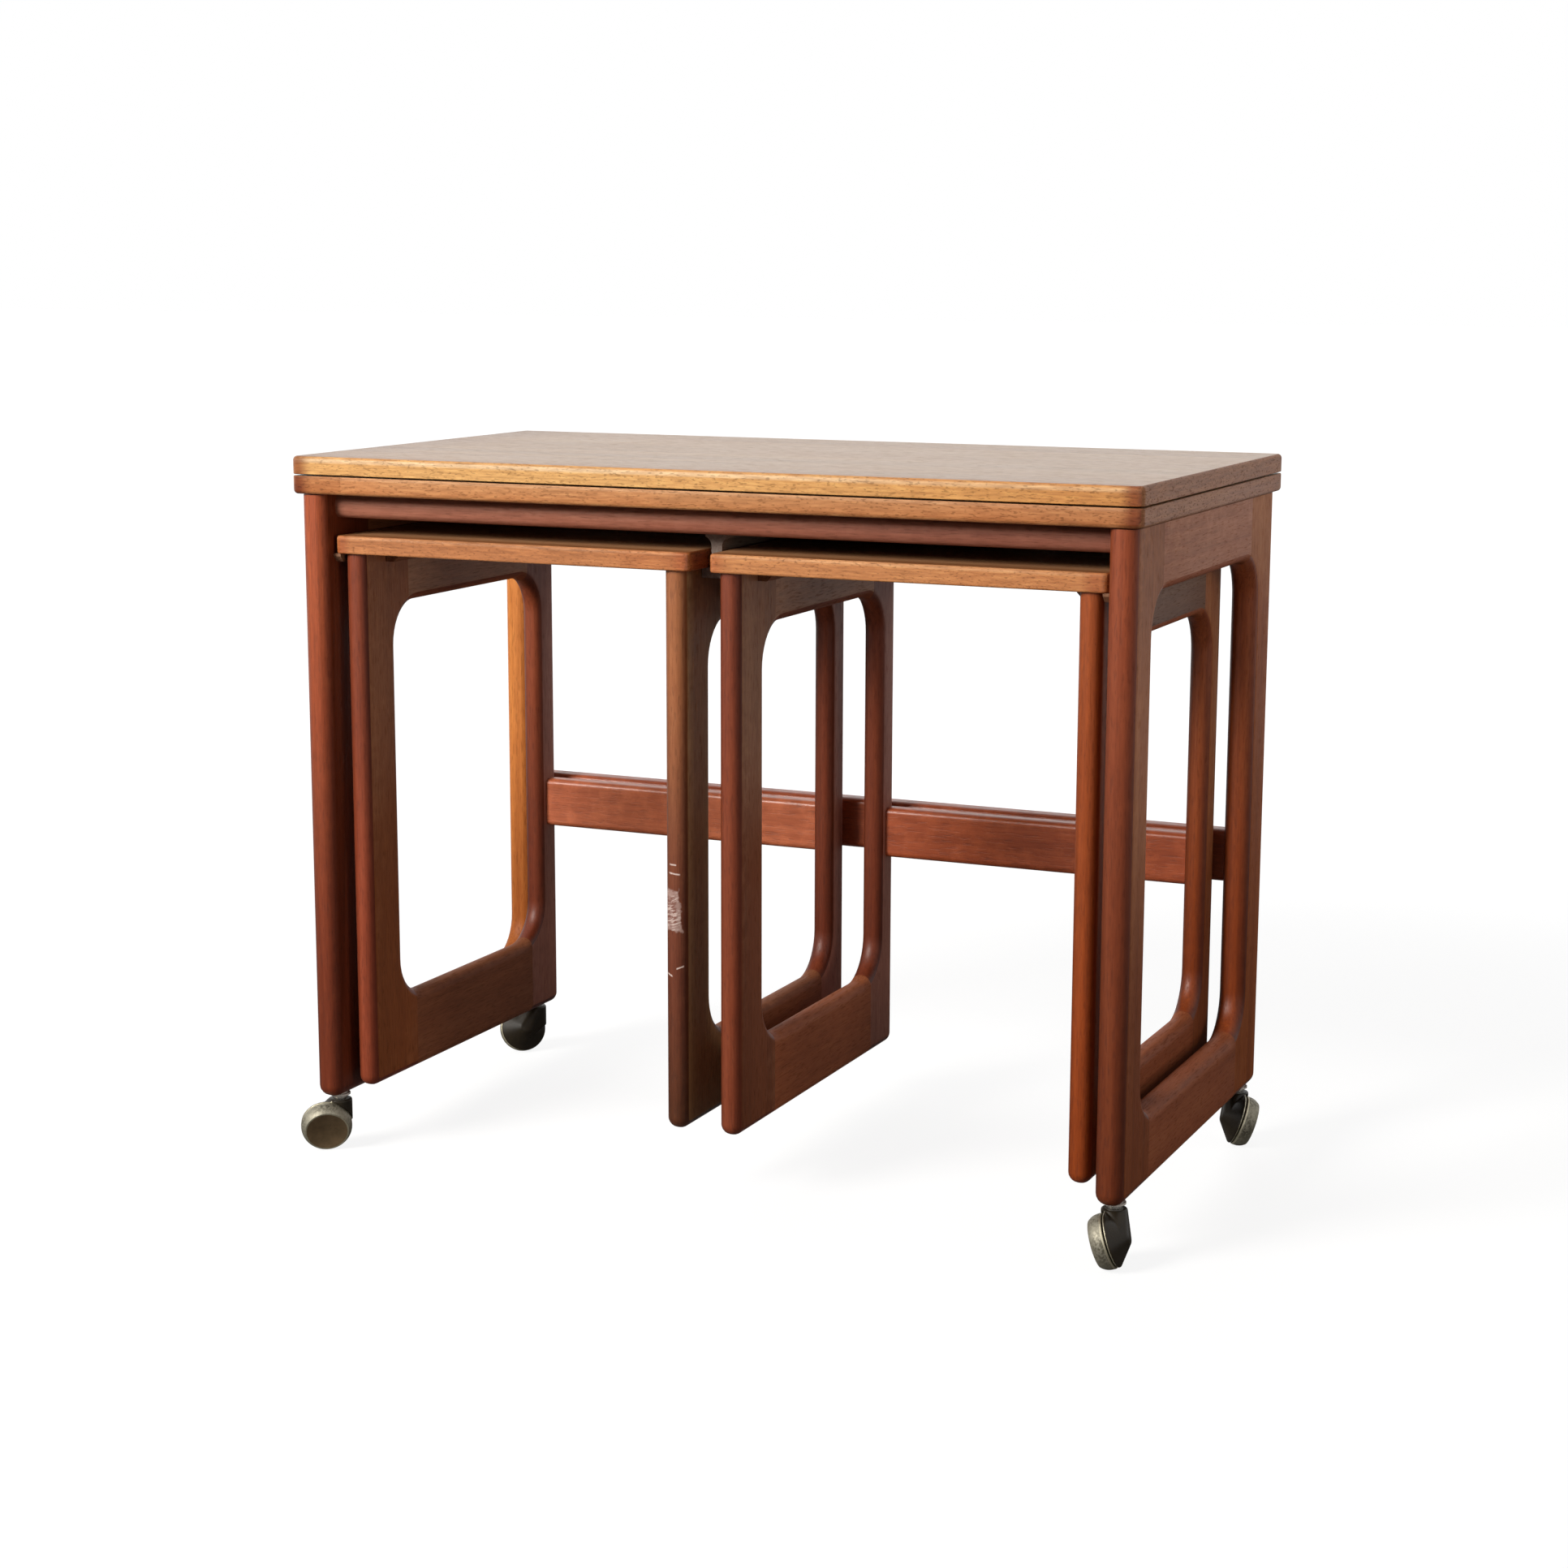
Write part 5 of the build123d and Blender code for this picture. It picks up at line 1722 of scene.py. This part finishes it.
@dataclass
class Studio:
    """Pale floor, soft lamps and the photograph's camera."""

    TOPS: ClassVar[tuple[str, ...]] = (
        "upper_leaf_dressed", "lower_leaf_dressed", "left_table_top_dressed", "right_table_top_dressed"
    )
    KEY: ClassVar[Lamp] = Lamp(
        "key", (-1.35, -2.3, 1.75), (-0.15, 0.0, 0.80), 1.3, 33.0, 90.0, (1.0, 0.97, 0.92)
    )

    eye: Triple = (0.98503, -2.19697, 0.75997)
    yaw: float = 24.303
    pitch: float = 10.403
    roll: float = 0.138
    lens: float = 66.15
    ambient: float = 0.19
    floor_width: float = 60.0
    floor_near: Colour = (0.87, 0.87, 0.87)
    floor_far: Colour = (1.03, 1.03, 1.03)
    floor_lit: Colour = (0.18, 0.18, 0.18)
    floor_fade: Span = (0.7, 2.2)
    mirror_fade: Span = (0.8, 3.2)
    lamps: Sequence[Lamp] = (
        KEY,
        replace(KEY, name="glint", mirrored=True, scattered=False, spared=TOPS),
        Lamp("fill", (2.3, 0.3, 1.5), (0.2, 0.0, 0.85), 1.3, 1.6, 45.0, (1.0, 0.93, 0.84)),
        Lamp("side", (3.6, -1.4, 0.5), (0.0, -0.1, 0.4), 1.2, 1.3, 40.0, (1.0, 0.88, 0.72)),
        Lamp("sky", (0.0, 0.6, 2.6), (0.0, 0.0, 0.5), 2.0, 8.6),
        Lamp("back", (-0.8, 3.0, 1.2), (0.0, 0.1, 0.35), 1.4, 4.0, 60.0),
    )

    def camera(self) -> None:
        """Sets the camera where the photograph was taken from."""
        data = bpy.data.cameras.new("photo_camera")
        data.lens = self.lens
        data.sensor_width = 36.0
        data.clip_end = 100.0
        camera = bpy.data.objects.new("photo_camera", data)
        turn = Matrix.Rotation(math.radians(self.yaw), 4, "Z")
        turn = turn @ Matrix.Rotation(math.radians(90.0 - self.pitch), 4, "X")
        turn = turn @ Matrix.Rotation(math.radians(self.roll), 4, "Z")
        camera.matrix_world = Matrix.Translation(Vector(self.eye)) @ turn
        bpy.context.scene.collection.objects.link(camera)
        bpy.context.scene.camera = camera

    @staticmethod
    def seen(graph: Graph, mirrored: Value = 1.0) -> Socket:
        """How white the background is.

        Args:
            graph: the graph of the floor or of the world.
            mirrored: the share of white that mirror rays get; camera and glass rays get all of it.

        Returns:
            The share of white.
        """
        path = graph.node("ShaderNodeLightPath")
        glossy = path["Is Glossy Ray"] * mirrored
        return path["Is Camera Ray"].greatest(path["Is Transmission Ray"]).greatest(glossy)

    def floor(self) -> None:
        """Lays the pale floor, white where it is seen, with the object's shadow on it."""
        Bench.clear()
        bpy.ops.mesh.primitive_plane_add(size=1.0)
        floor = bpy.context.object
        floor.name = "studio_floor"
        floor.scale = (self.floor_width, self.floor_width, 1.0)
        Bench.apply_place(floor)
        g = Graph.material("floor_white")
        away = g.node("ShaderNodeVectorMath", {"operation": "LENGTH"}, {0: g.place()})["Value"]
        pale = g.mix(away.step(*self.floor_fade), self.floor_near, self.floor_far)
        diffuse = g.node("ShaderNodeBsdfDiffuse", {}, {"Color": (*self.floor_lit, 1.0)})["BSDF"]
        white = g.node("ShaderNodeEmission", {}, {"Color": pale, "Strength": 1.0})["Emission"]
        both = g.node("ShaderNodeAddShader", {}, {0: diffuse, 1: white})["Shader"]
        share = self.seen(g, away.step(*self.mirror_fade))
        mixed = g.node("ShaderNodeMixShader", {}, {0: share, 1: diffuse, 2: both})["Shader"]
        g.node("ShaderNodeOutputMaterial", {}, {"Surface": mixed})
        floor.data.materials.append(g.owner)
        floor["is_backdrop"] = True

    def world(self) -> None:
        """Fills the room with dim light, white where it is seen."""
        world = bpy.data.worlds.new("pale_room")
        bpy.context.scene.world = world
        g = Graph(world)
        lights = {0: self.seen(g)}
        for place, strength in ((1, self.ambient), (2, 1.0)):
            inputs = {"Color": (1.0, 1.0, 1.0, 1.0), "Strength": strength}
            lights[place] = g.node("ShaderNodeBackground", {}, inputs)["Background"]
        mixed = g.node("ShaderNodeMixShader", {}, lights)["Shader"]
        g.node("ShaderNodeOutputWorld", {}, {"Surface": mixed})

    def build(self) -> None:
        """Sets up the whole studio."""
        self.camera()
        for lamp in self.lamps:
            lamp.hang()
        self.floor()
        self.world()
        bpy.context.scene.view_settings.view_transform = "Standard"


# The nest of tables


def frame_sets() -> Iterable[FrameSet]:
    """Lists the side frames of the main table and of the small tables.

    Returns:
        One set of frames for each size.
    """
    main_size = SideFrame(
        "left", thick=23.0 * MM, front_stile=48.0 * MM, rear_stile=50.0 * MM, bottom_rail=57.5 * MM,
        top_rail=52.5 * MM, window_r=33.0 * MM, foot_r=10.0 * MM, arris=9.5 * MM,
    )
    small_size = SideFrame(
        "left_table_outer", thick=19.0 * MM, front_stile=50.0 * MM, rear_stile=32.0 * MM,
        bottom_rail=67.9 * MM, top_rail=46.2 * MM, window_r=35.0 * MM, foot_r=9.0 * MM, arris=8.5 * MM,
    )
    rails = ("red_rail", "red_rail")
    inside = ("red_stile", "red_rail")
    main_frames = (
        Timber(
            "left", "base", ("left_stile", "honey_stile", *rails),
            ("red_stile", "plain_flank", "plain_rail", "plain_rail"),
        ),
        Timber(
            "right", "base", ("worn_stile", "back_stile", *rails),
            ("brown_flank", "rear_flank", "pale_rail", "red_rail"),
        ),
    )
    small_frames = (
        Timber(
            "left_table_outer", "left_table", ("dark_stile", *inside, "deep_rail"),
            ("olive_flank", "dusk_flank", "olive_rail", "deep_rail"),
        ),
        Timber(
            "left_table_inner", "left_table", ("scraped_stile", *inside, "deep_rail"),
            ("grey_flank", "dusk_flank", "olive_rail", "deep_rail"),
        ),
        Timber(
            "right_table_inner", "right_table", ("wine_stile", *inside, "russet_rail"),
            ("russet_flank", "dusk_flank", "olive_rail", "russet_rail"),
        ),
        Timber(
            "right_table_outer", "right_table", ("orange_stile", "back_stile", *rails),
            ("brown_flank", "brown_flank", "grey_rail", "red_rail"),
        ),
    )
    return FrameSet(main_size, main_frames), FrameSet(small_size, small_frames)


def boards_and_bars() -> Iterable[Union[TopBoard, Bar]]:
    """Lists the leaves, the small tops, the aprons and the stretchers.

    Returns:
        The boards and bars.
    """
    gold = ("veneer", "gold_lipping", "gold_end")
    orange = ("veneer", "orange_lipping", "orange_end")
    yield TopBoard("upper_leaf", "upper_leaf", 6.0 * MM, 3.6 * MM, 0.9 * MM, gold, "upper_hinge_plates")
    yield TopBoard(
        "lower_leaf", "lower_leaf", 6.0 * MM, 0.9 * MM, 3.6 * MM, orange, "lower_hinge_plates", "pivot_plate"
    )
    for side in ("left", "right"):
        names = ("small_veneer", f"{side}_lipping", "top_end")
        yield TopBoard(f"{side}_table_top", f"{side}_table", 6.5 * MM, 2.5 * MM, 1.6 * MM, names)
    yield Bar("front_apron", "base", 8.0 * MM, 2.0 * MM, "apron_teak")
    yield Bar("rear_apron", "base", 2.0 * MM, 8.0 * MM, "apron_teak")
    yield Bar("rear_stretcher", "base", 5.0 * MM, 5.0 * MM, "bar_teak")
    yield Bar("left_table_stretcher", "left_table", 5.0 * MM, 5.0 * MM, "pale_bar")
    yield Bar("right_table_stretcher", "right_table", 5.0 * MM, 5.0 * MM, "bar_teak")


def write_sizes() -> None:
    """Works out the CAD box and the dressed box as lists of corners, and keeps neither."""
    boxes = {"cad": CAD_BOX, "visual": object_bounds()}
    {name: [list(corner) for corner in box] for name, box in boxes.items()}


def main() -> None:
    """Builds every sub-assembly in order."""
    logging.basicConfig(level=logging.INFO, format="%(message)s")
    finishes = Finishes()
    casters = [Caster(name) for name in ("front_left", "front_right", "rear_left", "rear_right")]
    for assembly in (*frame_sets(), *boards_and_bars(), *casters, Hardware()):
        assembly.build(finishes)
    Studio().build()
    write_sizes()


if __name__ == "__main__":
    main()
